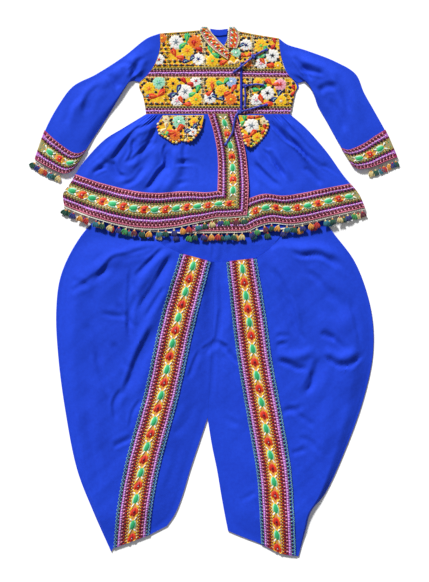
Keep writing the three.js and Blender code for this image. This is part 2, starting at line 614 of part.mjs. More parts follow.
// Folds that fan out from the gathered waist, and the softer ones across them.
const OVER_FOLDS = creases([
  { from: [-128, 352], via: [-190, 300], to: [-262, 236], width: 20, height: 3.0, rooted: true },
  { from: [-112, 350], via: [-152, 300], to: [-176, 226], width: 19, height: 3.4, rooted: true },
  { from: [-120, 304], via: [-134, 292], to: [-176, 252], width: 13, height: -2.0 },
  { from: [-164, 310], via: [-166, 276], to: [-180, 252], width: 13, height: -2.6 },
  { from: [-202, 262], via: [-194, 236], to: [-178, 226], width: 15, height: -2.6 },
  { from: [-244, 236], via: [-234, 242], to: [-218, 248], width: 13, height: -2.0 },
  { from: [-98, 300], via: [-99, 254], to: [-142, 198], width: 13, height: -4.2 },
  { from: [-118, 296], via: [-124, 250], to: [-164, 204], width: 18, height: 3.0 },
  { from: [-78, 296], via: [-76, 244], to: [-110, 190], width: 18, height: 3.4 },
  { from: [-84, 254], via: [-54, 256], to: [-30, 220], width: 12, height: -2.6 },
  { from: [-38, 254], via: [-28, 222], to: [-12, 228], width: 12, height: -2.6 },
  { from: [-46, 300], via: [-40, 270], to: [-44, 214], width: 16, height: 2.4 },
  { from: [-22, 330], via: [-22, 280], to: [-20, 240], width: 13, height: 2.0, rooted: true },
]);
const UNDER_FOLDS = creases([
  { from: [118, 350], via: [160, 300], to: [206, 238], width: 17, height: 3.4, rooted: true },
  { from: [106, 340], via: [142, 304], to: [198, 250], width: 12, height: -3.0 },
  { from: [138, 350], via: [190, 296], to: [242, 240], width: 16, height: 2.6, rooted: true },
  { from: [136, 332], via: [176, 284], to: [214, 236], width: 11, height: -2.4 },
  { from: [212, 254], via: [238, 240], to: [262, 222], width: 13, height: -2.2 },
  { from: [96, 320], via: [124, 262], to: [158, 216], width: 16, height: 3.0, rooted: true },
  { from: [82, 310], via: [108, 244], to: [146, 206], width: 13, height: -2.6 },
  { from: [72, 284], via: [98, 246], to: [130, 206], width: 14, height: 2.6 },
  { from: [66, 262], via: [76, 226], to: [84, 206], width: 12, height: -2.0 },
]);
const SKIRT_SWELL = 1.6; // air under the middle of a front
const FRONT_FADE = { edge: 0.125, hem: 0.2, atHem: 0.12 }; // shares of a front over which its folds fade
const fromEdge = (u) => soft(u / FRONT_FADE.edge);
const fromHem = (v) => soft((1 - v) / FRONT_FADE.hem + FRONT_FADE.atHem);

const OVER_HEM = [[-302, 173], [-274, 161], [-244, 150], [-182, 133], [-136, 127], [-90, 129], [-40, 139],
  [5, 149]];
const PLACKET_LINE = [[-14, SKIRT_TOP], [-4, 323], [4, 283], [6, 253], [5, 199], [5, 149]];
const PLACKET_EDGE = [[42, SKIRT_TOP], [50, 323], [60, 283], [65, 243], [67, 203], [64, 153]];
const overMain = patch({
  top: [[-138, SKIRT_TOP], [-14, SKIRT_TOP]], bottom: OVER_HEM,
  left: SKIRT_SIDES.right, right: PLACKET_LINE,
});
const overPlacket = patch({
  top: [[-14, SKIRT_TOP], [42, SKIRT_TOP]], bottom: [[5, 149], [36, 150], [64, 153]],
  left: PLACKET_LINE, right: PLACKET_EDGE,
});
const OVER_BAND = { atSide: 66, atPlacket: 51, from: -90, to: 0 }; // width, narrowing between two levels of x
const overBandWidth = ([x]) =>
  mix(OVER_BAND.atSide, OVER_BAND.atPlacket, soft((x - OVER_BAND.from) / (OVER_BAND.to - OVER_BAND.from)));
const FRONT_ROWS = 12;
const OVER_COLUMNS = 20;
const PLACKET_COLUMNS = 3;
const OVER_LAP_CALM = 0.85; // how much less free the over front is where it laps
const overFlat = sideBySide(
  net(overMain, OVER_COLUMNS, bandRows(overMain, FRONT_ROWS, HEM_ROWS, overBandWidth),
    { left: SEAM, right: 0, top: SEAM, bottom: 0 }),
  net(overPlacket, PLACKET_COLUMNS, bandRows(overPlacket, FRONT_ROWS, HEM_ROWS, overBandWidth),
    { left: 0, right: 0, top: SEAM, bottom: 0 }),
);
const overCloth = laid(overFlat, (x, y, v, u) => {
  const free = fromEdge(u) * fromEdge(1 - u) * fromHem(v) * (1 - lap(x, y) * OVER_LAP_CALM);
  return skirtOverUnder(x, y) + Math.max(0, free * (SKIRT_SWELL + OVER_FOLDS(x, y)));
});
add('skirt_right', sheet(overCloth, CLOTH), BLUE);
const LAST_ROW = FRONT_ROWS + HEM_ROWS;
const onOver = moved(overCloth, CLOTH + SEAM);
add('hem_band_right', sheet(part(onOver, FRONT_ROWS, LAST_ROW), BAND), LACE);
const placketRows = part(onOver, 0, FRONT_ROWS, OVER_COLUMNS);
const aboveHemBand = placketRows.at(-1).map(([x, y, z], c) => {
  const [nextX, nextY, nextZ] = placketRows.at(-2)[c];
  const share = SEAM / Math.hypot(nextX - x, nextY - y);
  return [mix(x, nextX, share), mix(y, nextY, share), mix(z, nextZ, share)];
});
add('placket_band', sheet([...placketRows.slice(0, -1), aboveHemBand], BAND), LACE);

const UNDER_HEM = [[-46, 121], [14, 121], [64, 123], [82, 131], [112, 139], [152, 136], [194, 143],
  [236, 153], [300, 168]];
const underFront = patch({
  top: [[-30, SKIRT_TOP], [150, SKIRT_TOP]], bottom: UNDER_HEM,
  left: [[-30, SKIRT_TOP], [-34, 300], [-40, 240], [-46, 121]], right: SKIRT_SIDES.left,
});
const UNDER_BAND_WIDTH = 56;
const underFlat = net(underFront, 18, bandRows(underFront, FRONT_ROWS, HEM_ROWS, () => UNDER_BAND_WIDTH),
  { left: 0, right: SEAM, top: SEAM, bottom: 0 });
// The under front lies still up to the over front's edge, which stands further out below this level.
const STILL = { level: 300, below: 66, above: 56, run: 24 };
const clearOfLap = (x, y) => soft((x - (y < STILL.level ? STILL.below : STILL.above)) / STILL.run);
const underCloth = laid(underFlat, (x, y, v, u) => {
  const free = fromEdge(1 - u) * fromHem(v) * clearOfLap(x, y);
  return skirtFrontUnder(x, y) + Math.max(0, free * (SKIRT_SWELL + UNDER_FOLDS(x, y)));
});
add('skirt_left', sheet(underCloth, CLOTH), BLUE);
add('hem_band_left', sheet(part(moved(underCloth, CLOTH + SEAM), FRONT_ROWS, LAST_ROW), BAND), LACE);

// Two patchwork flaps hang from the waist seam, their lower edges in rounded scallops.
const FLAPS = [
  {
    name: 'flap_right', under: (x, y) => skirtOverUnder(x, y) + CLOTH + FLAP_RISE,
    top: [[-104, 352], [-22, 352]],
    bottom: [[-110, 315], [-94, 306], [-79, 297], [-66, 303], [-52, 300], [-38, 311]],
    left: [[-104, 352], [-114, 334], [-110, 315]], right: [[-22, 352], [-26, 332], [-38, 311]],
  },
  {
    name: 'flap_left', under: (x, y) => skirtFrontUnder(x, y) + CLOTH + FLAP_RISE,
    top: [[46, 352], [96, 352]],
    bottom: [[61, 295], [72, 290], [90, 303], [101, 318]],
    left: [[46, 352], [53, 325], [61, 295]], right: [[96, 352], [106, 334], [101, 318]],
  },
];
for (const flap of FLAPS) {
  add(flap.name, sheet(laid(net(patch(flap), 8, () => steps(5)), flap.under), PATCH), GOLD);
}

// ---------------------------------------------------------------- tassels

// Each row of tassels hangs from a narrow heading strip beside the edge that it trims.
const STRIP = { gap: SEAM, width: 3, thickness: 1.2 };
const TASSEL = [ // distance along the tassel, half width, half thickness
  { along: -0.8, wide: 0.6, thick: 0.4 },
  { along: 5.5, wide: 3.0, thick: 1.1 },
  { along: 16, wide: 4.2, thick: 1.1 },
];

function toManifold(geometry) {
  const merged = mergeVertices(geometry, 1e-4);
  const mesh = new wasm.Mesh({
    numProp: 3,
    vertProperties: Float32Array.from(merged.attributes.position.array),
    triVerts: Uint32Array.from(merged.index.array),
  });
  return new wasm.Manifold(mesh);
}

function fromManifold(solid) {
  const mesh = solid.getMesh();
  const geometry = new THREE.BufferGeometry();
  geometry.setAttribute('position', new THREE.BufferAttribute(mesh.vertProperties, 3));
  geometry.setIndex(new THREE.BufferAttribute(mesh.triVerts, 1));
  return geometry;
}

function capped(rings) {
  const sides = rings[0].length;
  const index = [];
  for (let r = 0; r < rings.length - 1; r += 1) {
    for (let s = 0; s < sides; s += 1) {
      const [a, b] = [r * sides + s, r * sides + (s + 1) % sides];
      index.push(a, b, b + sides, a, b + sides, a + sides);
    }
  }
  const last = (rings.length - 1) * sides;
  for (let s = 1; s < sides - 1; s += 1) {
    index.push(0, s + 1, s, last, last + s, last + s + 1);
  }
  return facingOut(rings.flat(2), index);
}

const LEAN = { most: 0.22, turn: 2.4, first: 1 }; // a tassel leans to one side by up to this slope

// edge: the trimmed edge's own [x, y, z] points; outward: the side of its direction that is free, +1 or -1.
function tassels({ name, edge, count, outward }) {
  const outAt = (k) => {
    const [a, b] = [edge[Math.max(0, k - 1)], edge[Math.min(edge.length - 1, k + 1)]];
    const length = apart(a, b);
    return [-outward * (b[1] - a[1]) / length, outward * (b[0] - a[0]) / length];
  };
  const strip = [STRIP.gap, STRIP.gap + STRIP.width].map((out) => edge.map(([x, y, z], k) => {
    const [outX, outY] = outAt(k);
    return [x + outX * out, y + outY * out, z];
  }));
  let solid = toManifold(sheet(strip, STRIP.thickness));
  const [, free] = strip;
  const along = free.slice(1).reduce((sums, point, k) => [...sums, sums[k] + apart(point, free[k])], [0]);
  for (let n = 0; n < count; n += 1) {
    const place = (n + 0.5) / count * along.at(-1);
    const k = along.findIndex((sum) => sum > place) - 1;
    const share = (place - along[k]) / (along[k + 1] - along[k]);
    const root = free[k].map((value, axis) => mix(value, free[k + 1][axis], share));
    const [outX, outY] = outAt(share < 0.5 ? k : k + 1);
    const lean = LEAN.most * Math.sin(LEAN.turn * n + LEAN.first);
    const way = [outX + lean * outY, outY - lean * outX];
    const rings = TASSEL.map(({ along: reach, wide, thick }) => {
      const [x, y] = [root[0] + way[0] * reach, root[1] + way[1] * reach];
      const z = root[2] + 0.5 * STRIP.thickness;
      return [[wide, thick], [wide, -thick], [-wide, -thick], [-wide, thick]]
        .map(([side, up]) => [x - outY * side, y + outX * side, z + up]);
    });
    solid = solid.add(toManifold(capped(rings)));
  }
  add(name, fromManifold(solid), YARN, 0.95);
}

const hemEdge = (cloth) => cloth.at(-1);
const lowered = (edge, drop) => edge.map(([x, y, z]) => [x, y, z - drop]);
const BACK_DROP = 0.6; // the back's tassels lie lower than its cloth, clear of the fronts' tassels
const CUFF_LEVEL = BAND_LIFT + 0.4; // just above the cuff's underside
const CUFF_TRIMMED = 4; // columns of the sleeve's end that carry tassels, from its outer edge
const cuffEdge = (side) => cuffEnds[side].slice(0, CUFF_TRIMMED + 1).map(([x, y]) => [x, y, CUFF_LEVEL]);
[
  { name: 'hem_tassels_right', edge: hemEdge(overCloth), count: 24, outward: -1 },
  { name: 'hem_tassels_left', edge: hemEdge(underCloth), count: 23, outward: -1 },
  { name: 'hem_tassels_back', edge: lowered(hemEdge(backCloth), BACK_DROP), count: 20, outward: -1 },
  { name: 'cuff_tassels_right', edge: cuffEdge('right'), count: 7, outward: -1 },
  { name: 'cuff_tassels_left', edge: cuffEdge('left'), count: 7, outward: 1 },
].forEach(tassels);

// ---------------------------------------------------------------- ties

// Blue cords close the lap at the collar, under the arm and at the waist: a knot with its two free ends.
// Levels of a cord's middle on the embroidery of each front, on the lap and on the placket's lace.
const REST = CORD_RADIUS + 0.4; // a cord's middle over the cloth that it lies on
const ON_LEFT = CLOTH + SEAM + PATCH + REST;
const ON_RIGHT = ON_LEFT + YOKE_LAP;
const ON_PLACKET = 2 * CLOTH + LAYER + SKIRT_LAP + SEAM + BAND + REST;
const TIES = [
  {
    name: 'tie_neck_end',
    route: [[83, 474, ON_LEFT], [90, 478, ON_LEFT], [98, 482, ON_LEFT], [106, 484, ON_LEFT]],
  },
  {
    name: 'tie_neck_tail',
    route: [[71, 465, ON_LEFT + 1], [60, 456, ON_RIGHT], [48, 446, ON_RIGHT], [36, 437, ON_RIGHT]],
  },
  {
    name: 'tie_side_end',
    route: [[67, 412, ON_LEFT], [77, 414, ON_LEFT], [88, 414, ON_LEFT], [99, 412, ON_LEFT]],
  },
  {
    name: 'tie_side_tail',
    route: [[60, 403, ON_LEFT], [61, 391, ON_LEFT], [60, 378, ON_LEFT], [60, 367, ON_LEFT]],
  },
  {
    name: 'tie_waist_end',
    route: [[57, 361, ON_RIGHT], [72, 365, ON_LEFT + 0.6], [88, 370, ON_LEFT], [106, 374, ON_LEFT]],
  },
  {
    name: 'tie_waist_tail',
    route: [[42, 352, ON_PLACKET], [38, 336, ON_PLACKET], [35, 318, ON_PLACKET], [27, 304, ON_PLACKET],
      [20, 291, ON_PLACKET]],
  },
];
const KNOTS = [
  { name: 'tie_neck_knot', at: [77, 470, ON_LEFT + 1.2], size: [4.6, 3.8, 2.9] },
  { name: 'tie_side_knot', at: [60, 411, ON_LEFT + 1.2], size: [4.6, 4.4, 2.9] },
  { name: 'tie_waist_knot', at: [49, 359, ON_RIGHT + 1.4], size: [4.8, 4.4, 3.2] },
];

const CORD_SIDES = 8;
const cordSection = new THREE.Shape(Array.from({ length: CORD_SIDES }, (_, k) => {
  const angle = 2 * Math.PI * k / CORD_SIDES;
  return new THREE.Vector2(CORD_RADIUS * Math.cos(angle), CORD_RADIUS * Math.sin(angle));
}));
const CORD_STEP = 5 * CORD_RADIUS;
for (const { name, route } of TIES) {
  const path = new THREE.CatmullRomCurve3(route.map((point) => new THREE.Vector3(...point)));
  const count = Math.ceil(path.getLength() / CORD_STEP) + 1;
  const along = { steps: count, extrudePath: path, bevelEnabled: false };
  add(name, new THREE.ExtrudeGeometry(cordSection, along), BLUE);
}
for (const { name, at, size } of KNOTS) {
  const knot = new THREE.IcosahedronGeometry(1, 1);
  knot.scale(...size);
  knot.translate(...at);
  add(name, knot, BLUE);
}

export default group;
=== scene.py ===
# A child's kediyu and dhoti laid out flat: blue cotton, stitched patchwork, lace bands, cord ties and yarn
# tassels. Sizes are millimetres until a mesh is made. +X is the wearer's left and +Y points to the collar.

import math

import bpy
import numpy as np
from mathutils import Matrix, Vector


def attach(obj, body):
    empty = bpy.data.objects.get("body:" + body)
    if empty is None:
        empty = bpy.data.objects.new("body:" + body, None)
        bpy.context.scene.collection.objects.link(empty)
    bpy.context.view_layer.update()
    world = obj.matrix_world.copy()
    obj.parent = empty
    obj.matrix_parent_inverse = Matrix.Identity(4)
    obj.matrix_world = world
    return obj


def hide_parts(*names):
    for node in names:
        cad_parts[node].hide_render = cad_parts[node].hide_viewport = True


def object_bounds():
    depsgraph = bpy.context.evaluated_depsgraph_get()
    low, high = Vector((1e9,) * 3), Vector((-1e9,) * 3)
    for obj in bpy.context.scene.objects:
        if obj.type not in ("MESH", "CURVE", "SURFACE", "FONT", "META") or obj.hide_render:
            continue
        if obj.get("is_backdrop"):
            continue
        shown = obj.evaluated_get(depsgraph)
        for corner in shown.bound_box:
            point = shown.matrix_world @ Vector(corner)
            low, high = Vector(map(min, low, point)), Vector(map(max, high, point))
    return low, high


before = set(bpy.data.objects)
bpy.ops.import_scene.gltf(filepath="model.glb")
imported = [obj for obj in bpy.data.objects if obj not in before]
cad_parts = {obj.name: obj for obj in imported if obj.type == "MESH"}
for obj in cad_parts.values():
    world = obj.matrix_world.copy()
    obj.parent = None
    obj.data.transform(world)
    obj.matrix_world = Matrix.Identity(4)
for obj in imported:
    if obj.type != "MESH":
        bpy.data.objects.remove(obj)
CAD_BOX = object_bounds()
MM = 0.001

# ---------------------------------------------------------------- camera
# A long lens straight above the set, with the collar at the top of the picture.

VIEW_HEIGHT = 1164.0  # what the picture takes in from top to bottom
VIEW_CENTRE = (-1.0, 1.0)
CLOTH_LEVEL = 5.0
LENS = 100.0
SENSOR = 36.0

camera = bpy.data.objects.new("camera", bpy.data.cameras.new("camera"))
camera.data.lens = LENS
camera.data.sensor_width = SENSOR
camera.location = (VIEW_CENTRE[0] * MM, VIEW_CENTRE[1] * MM,
                   (CLOTH_LEVEL + VIEW_HEIGHT * LENS / SENSOR) * MM)
bpy.context.scene.collection.objects.link(camera)
bpy.context.scene.camera = camera

# ---------------------------------------------------------------- cord ties
# Three pairs of twisted cotton cords close the lap at the neck, under the arm and at the waist. Each pair is
# tied in a small overhand knot, and each free end is knotted so that it doesn't fray.

CORD_RADIUS = 2.0
ALONG_CORD = np.linspace(0, 1, 60)
ON_LEFT = 5.7  # level of a cord's middle on the under front's patchwork
ON_RIGHT = 8.1  # on the over front's patchwork
ON_PLACKET = 11.3  # on the placket's lace
TIES = {
    "tie_neck": {
        "knot": (77, 470, ON_LEFT + 1.2),
        "end": [(83, 474, ON_LEFT), (90, 478, ON_LEFT), (98, 482, ON_LEFT), (106, 484, ON_LEFT)],
        "tail": [(71, 465, ON_LEFT + 1), (60, 456, ON_RIGHT), (48, 446, ON_RIGHT), (36, 437, ON_RIGHT)],
    },
    "tie_side": {
        "knot": (60, 411, ON_LEFT + 1.2),
        "end": [(67, 412, ON_LEFT), (77, 414, ON_LEFT), (88, 414, ON_LEFT), (99, 412, ON_LEFT)],
        "tail": [(60, 403, ON_LEFT), (61, 391, ON_LEFT), (60, 378, ON_LEFT), (60, 367, ON_LEFT)],
    },
    "tie_waist": {
        "knot": (49, 359, ON_RIGHT + 1.4),
        "end": [(57, 361, ON_RIGHT), (72, 365, ON_LEFT + 0.6), (88, 370, ON_LEFT), (106, 374, ON_LEFT)],
        "tail": [(42, 352, ON_PLACKET), (38, 336, ON_PLACKET), (35, 318, ON_PLACKET), (27, 304, ON_PLACKET),
                 (20, 291, ON_PLACKET)],
    },
}


def linear(colour):
    """A '#rrggbb' colour as the linear numbers that a shader takes."""
    parts = [int(colour[k:k + 2], 16) / 255 for k in (1, 3, 5)]
    return (*[p / 12.92 if p <= 0.04045 else ((p + 0.055) / 1.055) ** 2.4 for p in parts], 1.0)


def node(tree, kind, inputs=None, **settings):
    """Adds a node. inputs gives each socket a value, or an output that it is linked to."""
    made = tree.nodes.new(kind)
    for name, value in settings.items():
        setattr(made, name, value)
    for socket, value in (inputs or {}).items():
        if isinstance(value, bpy.types.NodeSocket):
            tree.links.new(value, made.inputs[socket])
        else:
            made.inputs[socket].default_value = value
    return made


def material(name, **values):
    """A new material, with values of its shader's own. Gives it with its node tree, its shader and the place
    on the set that its patterns follow."""
    made = bpy.data.materials.new(name)
    made.use_nodes = True
    tree = made.node_tree
    shader = tree.nodes["Principled BSDF"]
    for value in values:
        shader.inputs[value.replace("_", " ")].default_value = values[value]
    return made, tree, shader, node(tree, "ShaderNodeTexCoord").outputs["Object"]


def smooth_line(points):
    """The smooth line through the points, as a function of its share of the length."""
    knots = np.array(points, float)
    ends = np.vstack([2 * knots[0] - knots[1], knots, 2 * knots[-1] - knots[-2]])
    step = np.maximum(np.sqrt(np.linalg.norm(np.diff(ends, axis=0), axis=1)), 1e-6)[:, None]
    share = np.linspace(0, 1, 30, endpoint=False)[:, None]
    stretches = []
    for k in range(len(knots) - 1):
        a, b, c, d = ends[k:k + 4]
        before, here, after = step[k:k + 3]
        leave = here * ((b - a) / before - (c - a) / (before + here) + (c - b) / here)
        arrive = here * ((c - b) / here - (d - b) / (here + after) + (d - c) / after)
        stretches.append(b + leave * share + (3 * (c - b) - 2 * leave - arrive) * share ** 2
                         + (2 * (b - c) + leave + arrive) * share ** 3)
    dots = np.vstack([*stretches, knots[-1:]])
    length = np.concatenate([[0], np.cumsum(np.linalg.norm(np.diff(dots, axis=0), axis=1))])

    def at(share):
        place = np.clip(share, 0, 1) * length[-1]
        return np.stack([np.interp(place, length, dots[:, axis]) for axis in range(dots.shape[1])], axis=-1)

    at.length = length[-1]
    return at


def grid_faces(rows, columns, wrap=False, start=0):
    """Quads of a net of points. A wrapped net closes on its first column."""
    row, column = np.meshgrid(np.arange(rows - 1), np.arange(columns if wrap else columns - 1), indexing="ij")
    following = (column + 1) % columns
    corners = [row * columns + column, row * columns + following,
               (row + 1) * columns + following, (row + 1) * columns + column]
    return np.stack([c.ravel() for c in corners], axis=1) + start


def facing_out(points, faces):
    """The faces, turned over if the body that they close is inside out."""
    volume = 0.0
    for group in faces:
        a = points[group[:, 0]]
        for k in range(1, group.shape[1] - 1):
            volume += np.einsum("ij,ij->", a, np.cross(points[group[:, k]], points[group[:, k + 1]]))
    return [group[:, ::-1] for group in faces] if volume < 0 else faces


SHARP_ANGLE = 55  # degrees; an edge that turns by less is shaded smooth


def make(name, points, faces, materials, kinds=None):
    """A mesh object from points in millimetres and groups of faces. kinds gives each face's material."""
    mesh = bpy.data.meshes.new(name)
    polygons = [face for group in faces for face in group.tolist()]
    mesh.from_pydata((np.asarray(points) * MM).tolist(), [], polygons)
    for surface in materials:
        mesh.materials.append(surface)
    if kinds is not None:
        mesh.polygons.foreach_set("material_index", np.asarray(kinds, np.int32))
    mesh.polygons.foreach_set("use_smooth", np.ones(len(mesh.polygons), bool))
    mesh.update()
    mesh.set_sharp_from_angle(angle=math.radians(SHARP_ANGLE))
    made = bpy.data.objects.new(name, mesh)
    bpy.context.scene.collection.objects.link(made)
    return made


def keep(made, slot, *nodes):
    """The piece rides on the set's one body and stands for CAD nodes. slot is not used."""
    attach(made, "root")
    if nodes:
        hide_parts(*nodes)
    return made


STRANDS = 3
TWIST_PITCH = 9.0


def twisted(path, radius, sides=12, depth=0.16, closed=False):
    """Points and faces of a cord of a few twisted strands. radius is one number, or one for each point."""
    path = np.asarray(path, float)
    ahead = np.roll(path, -1, 0) - np.roll(path, 1, 0) if closed else np.gradient(path, axis=0)
    ahead /= np.linalg.norm(ahead, axis=1, keepdims=True)
    across = np.cross(ahead, (0, 0, 1.0))
    across /= np.linalg.norm(across, axis=1, keepdims=True)
    up = np.cross(across, ahead)
    gone = np.concatenate([[0], np.cumsum(np.linalg.norm(np.diff(path, axis=0), axis=1))])
    angle = np.linspace(0, 2 * math.pi, sides, endpoint=False)
    lobes = 1 + depth * np.cos(STRANDS * angle[None] - 2 * math.pi * gone[:, None] / TWIST_PITCH)
    reach = (np.broadcast_to(radius, len(path))[:, None] * lobes)[..., None]
    points = path[:, None] + reach * (np.cos(angle)[None, :, None] * across[:, None]
                                      + np.sin(angle)[None, :, None] * up[:, None])
    points, faces = points.reshape(-1, 3), [grid_faces(len(path), sides, wrap=True)]
    last = (len(path) - 1) * sides
    ring = np.arange(sides)
    if closed:
        faces.append(np.stack([last + ring, last + (ring + 1) % sides, (ring + 1) % sides, ring], axis=1))
    else:
        faces.append(np.stack([np.full(sides - 2, 0), ring[2:], ring[1:-1]], axis=1))
        faces.append(np.stack([np.full(sides - 2, last), last + ring[1:-1], last + ring[2:]], axis=1))
    return points, facing_out(points, faces)


def twisted_cotton_cord():
    """Mercerised cotton cord: dyed deep blue, a little glossy on the crowns of its strands."""
    made, tree, shader, place = material("mercerised_cotton_cord", Roughness=0.55, Sheen_Weight=0.3)
    fibres = node(tree, "ShaderNodeTexNoise", {"Vector": place, "Scale": 900.0, "Detail": 3.0})
    tone = node(tree, "ShaderNodeMix", {0: fibres.outputs["Fac"], 6: linear("#0e1a80"), 7: linear("#1c30b8")},
                data_type="RGBA")
    tree.links.new(tone.outputs[2], shader.inputs["Base Color"])
    relief = node(tree, "ShaderNodeBump", {"Height": fibres.outputs["Fac"], "Distance": 0.3 * MM,
                                           "Strength": 0.5})
    tree.links.new(relief.outputs["Normal"], shader.inputs["Normal"])
    return made


CORD = twisted_cotton_cord()
LAID_SHARE = 0.9  # of the cord's radius, where it lies free
END_KNOT = {"share": 1.45, "from_tip": 3.5, "half": 2.2}
TIP_CUT = 0.3
KNOT = {"loop": 1.25, "rise": 0.9, "cord": 1.35}
turn = np.linspace(0, 2 * math.pi, 90, endpoint=False)
overhand = np.stack([KNOT["loop"] * (np.sin(turn) + 2 * np.sin(2 * turn)),
                     KNOT["loop"] * (np.cos(turn) - 2 * np.cos(2 * turn)),
                     -KNOT["rise"] * np.sin(3 * turn)], axis=1)
for tie, parts in TIES.items():
    knot = make(f"{tie}_knot_tied", *twisted(overhand + parts["knot"], KNOT["cord"], closed=True), [CORD])
    keep(knot, "cord", f"{tie}_knot")
    for part in ("end", "tail"):
        line = smooth_line([parts["knot"], *parts[part]])
        route = line(ALONG_CORD)
        to_go = line.length * (1 - ALONG_CORD)
        swollen = np.exp(-((to_go - END_KNOT["from_tip"]) / END_KNOT["half"]) ** 2)
        share = LAID_SHARE + (END_KNOT["share"] - LAID_SHARE) * swollen - TIP_CUT * (to_go < 1)
        cord = make(f"{tie}_{part}_cord", *twisted(route, CORD_RADIUS * share), [CORD])
        keep(cord, "cord", f"{tie}_{part}")

# ---------------------------------------------------------------- dhoti legs
# Each leg of the draped trousers is one length of plain-woven cotton: front, side fold and back. It is
# gathered into the hip yoke, so folds run out from the yoke and sink into the air caught in the leg.

CLOTH = 1.2  # how thick a cloth is
BAND = 1.2  # how thick a lace is
SEAM = 0.3  # the gap between two pieces
WALLS = 2 * CLOTH + SEAM
LEG_PUFF = 6.4  # the air caught in a leg
LEG_DEPTH = 1.4  # how much deeper the folds are than their table says
LEG_ROWS = 150
CENTRE_GAP = 0.1
STRIP_COLUMNS = (20, 12, 64)  # inner cloth, cloth under the lace, outer cloth
STRIP_SHARES = (0, 3 / 14, 6 / 14, 1)  # where the strips meet, for the fading of the air
BACK_STEP = 8  # the flat back repeats every so many of the front's columns
SIDE_BEND = (70, 35, 0, -35, -70)  # degrees round the side fold
SEAM_AIR = {"most": 0.4, "from": -250, "over": 60}  # the centre seam keeps a little air above the crotch
INNER_FADE, OUTER_FADE, HEM_FADE = 0.24, 0.15, 0.11  # shares of the leg over which its air runs out
HEM_FOLDS = 0.35  # how much of their depth the folds keep at the hem
WAVES = {"rise": 0.9, "scale": 40}  # what wear leaves in the cloth beside its folds
RIPPLES = {"rise": 0.35, "scale": 17}
COVERED = {"from": 112, "over": 40}  # above this the leg lies flat under the kediyu

CENTRE_SEAM = [(0, 59), (-4, -50), (-8, -150), (-15, -253)]
CROTCH_SHARE = 11 / 18
LEGS = {
    "right": {
        "inseam": [(-15, -253), (-34, -309), (-50, -357), (-66, -410), (-80, -445), (-96, -469)],
        "band_inner": [(-8, 60), (-41, -69), (-73, -211), (-111, -355), (-126, -439), (-131, -487)],
        "band_outer": [(-70, 77), (-109, -52), (-140, -195), (-179, -339), (-196, -430), (-204, -514)],
        "side": [(-144, 157), (-176, 165), (-214, 157), (-248, 135), (-284, 87), (-310, 27), (-318, -40),
                 (-314, -129), (-300, -237), (-276, -357), (-244, -440), (-208, -521)],
        "tops": [[(0, 59), (-8, 60)], [(-8, 60), (-70, 77)],
                 [(-70, 77), (-102, 92), (-126, 111), (-140, 134), (-144, 157)]],
        "hems": [[(-96, -469), (-131, -487)], [(-131, -487), (-168, -501), (-204, -514)],
                 [(-204, -514), (-208, -521)]],
    },
    "left": {
        "inseam": [(-15, -253), (-6, -309), (4, -357), (12, -405), (20, -449), (26, -479)],
        "band_inner": [(22, 60), (35, -63), (46, -146), (65, -257), (83, -365), (88, -430), (92, -505)],
        "band_outer": [(83, 67), (103, -55), (114, -136), (134, -245), (152, -355), (158, -440), (162, -529)],
        "side": [(142, 157), (172, 165), (208, 153), (242, 111), (278, 63), (302, 5), (316, -60),
                 (316, -129), (298, -213), (264, -309), (220, -405), (192, -441), (182, -475), (167, -530)],
        "tops": [[(0, 59), (22, 60)], [(22, 60), (83, 67)],
                 [(83, 67), (108, 84), (128, 107), (139, 132), (142, 157)]],
        "hems": [[(26, -479), (50, -489), (92, -505)], [(92, -505), (134, -525), (162, -529)],
                 [(162, -529), (167, -530)]],
    },
}
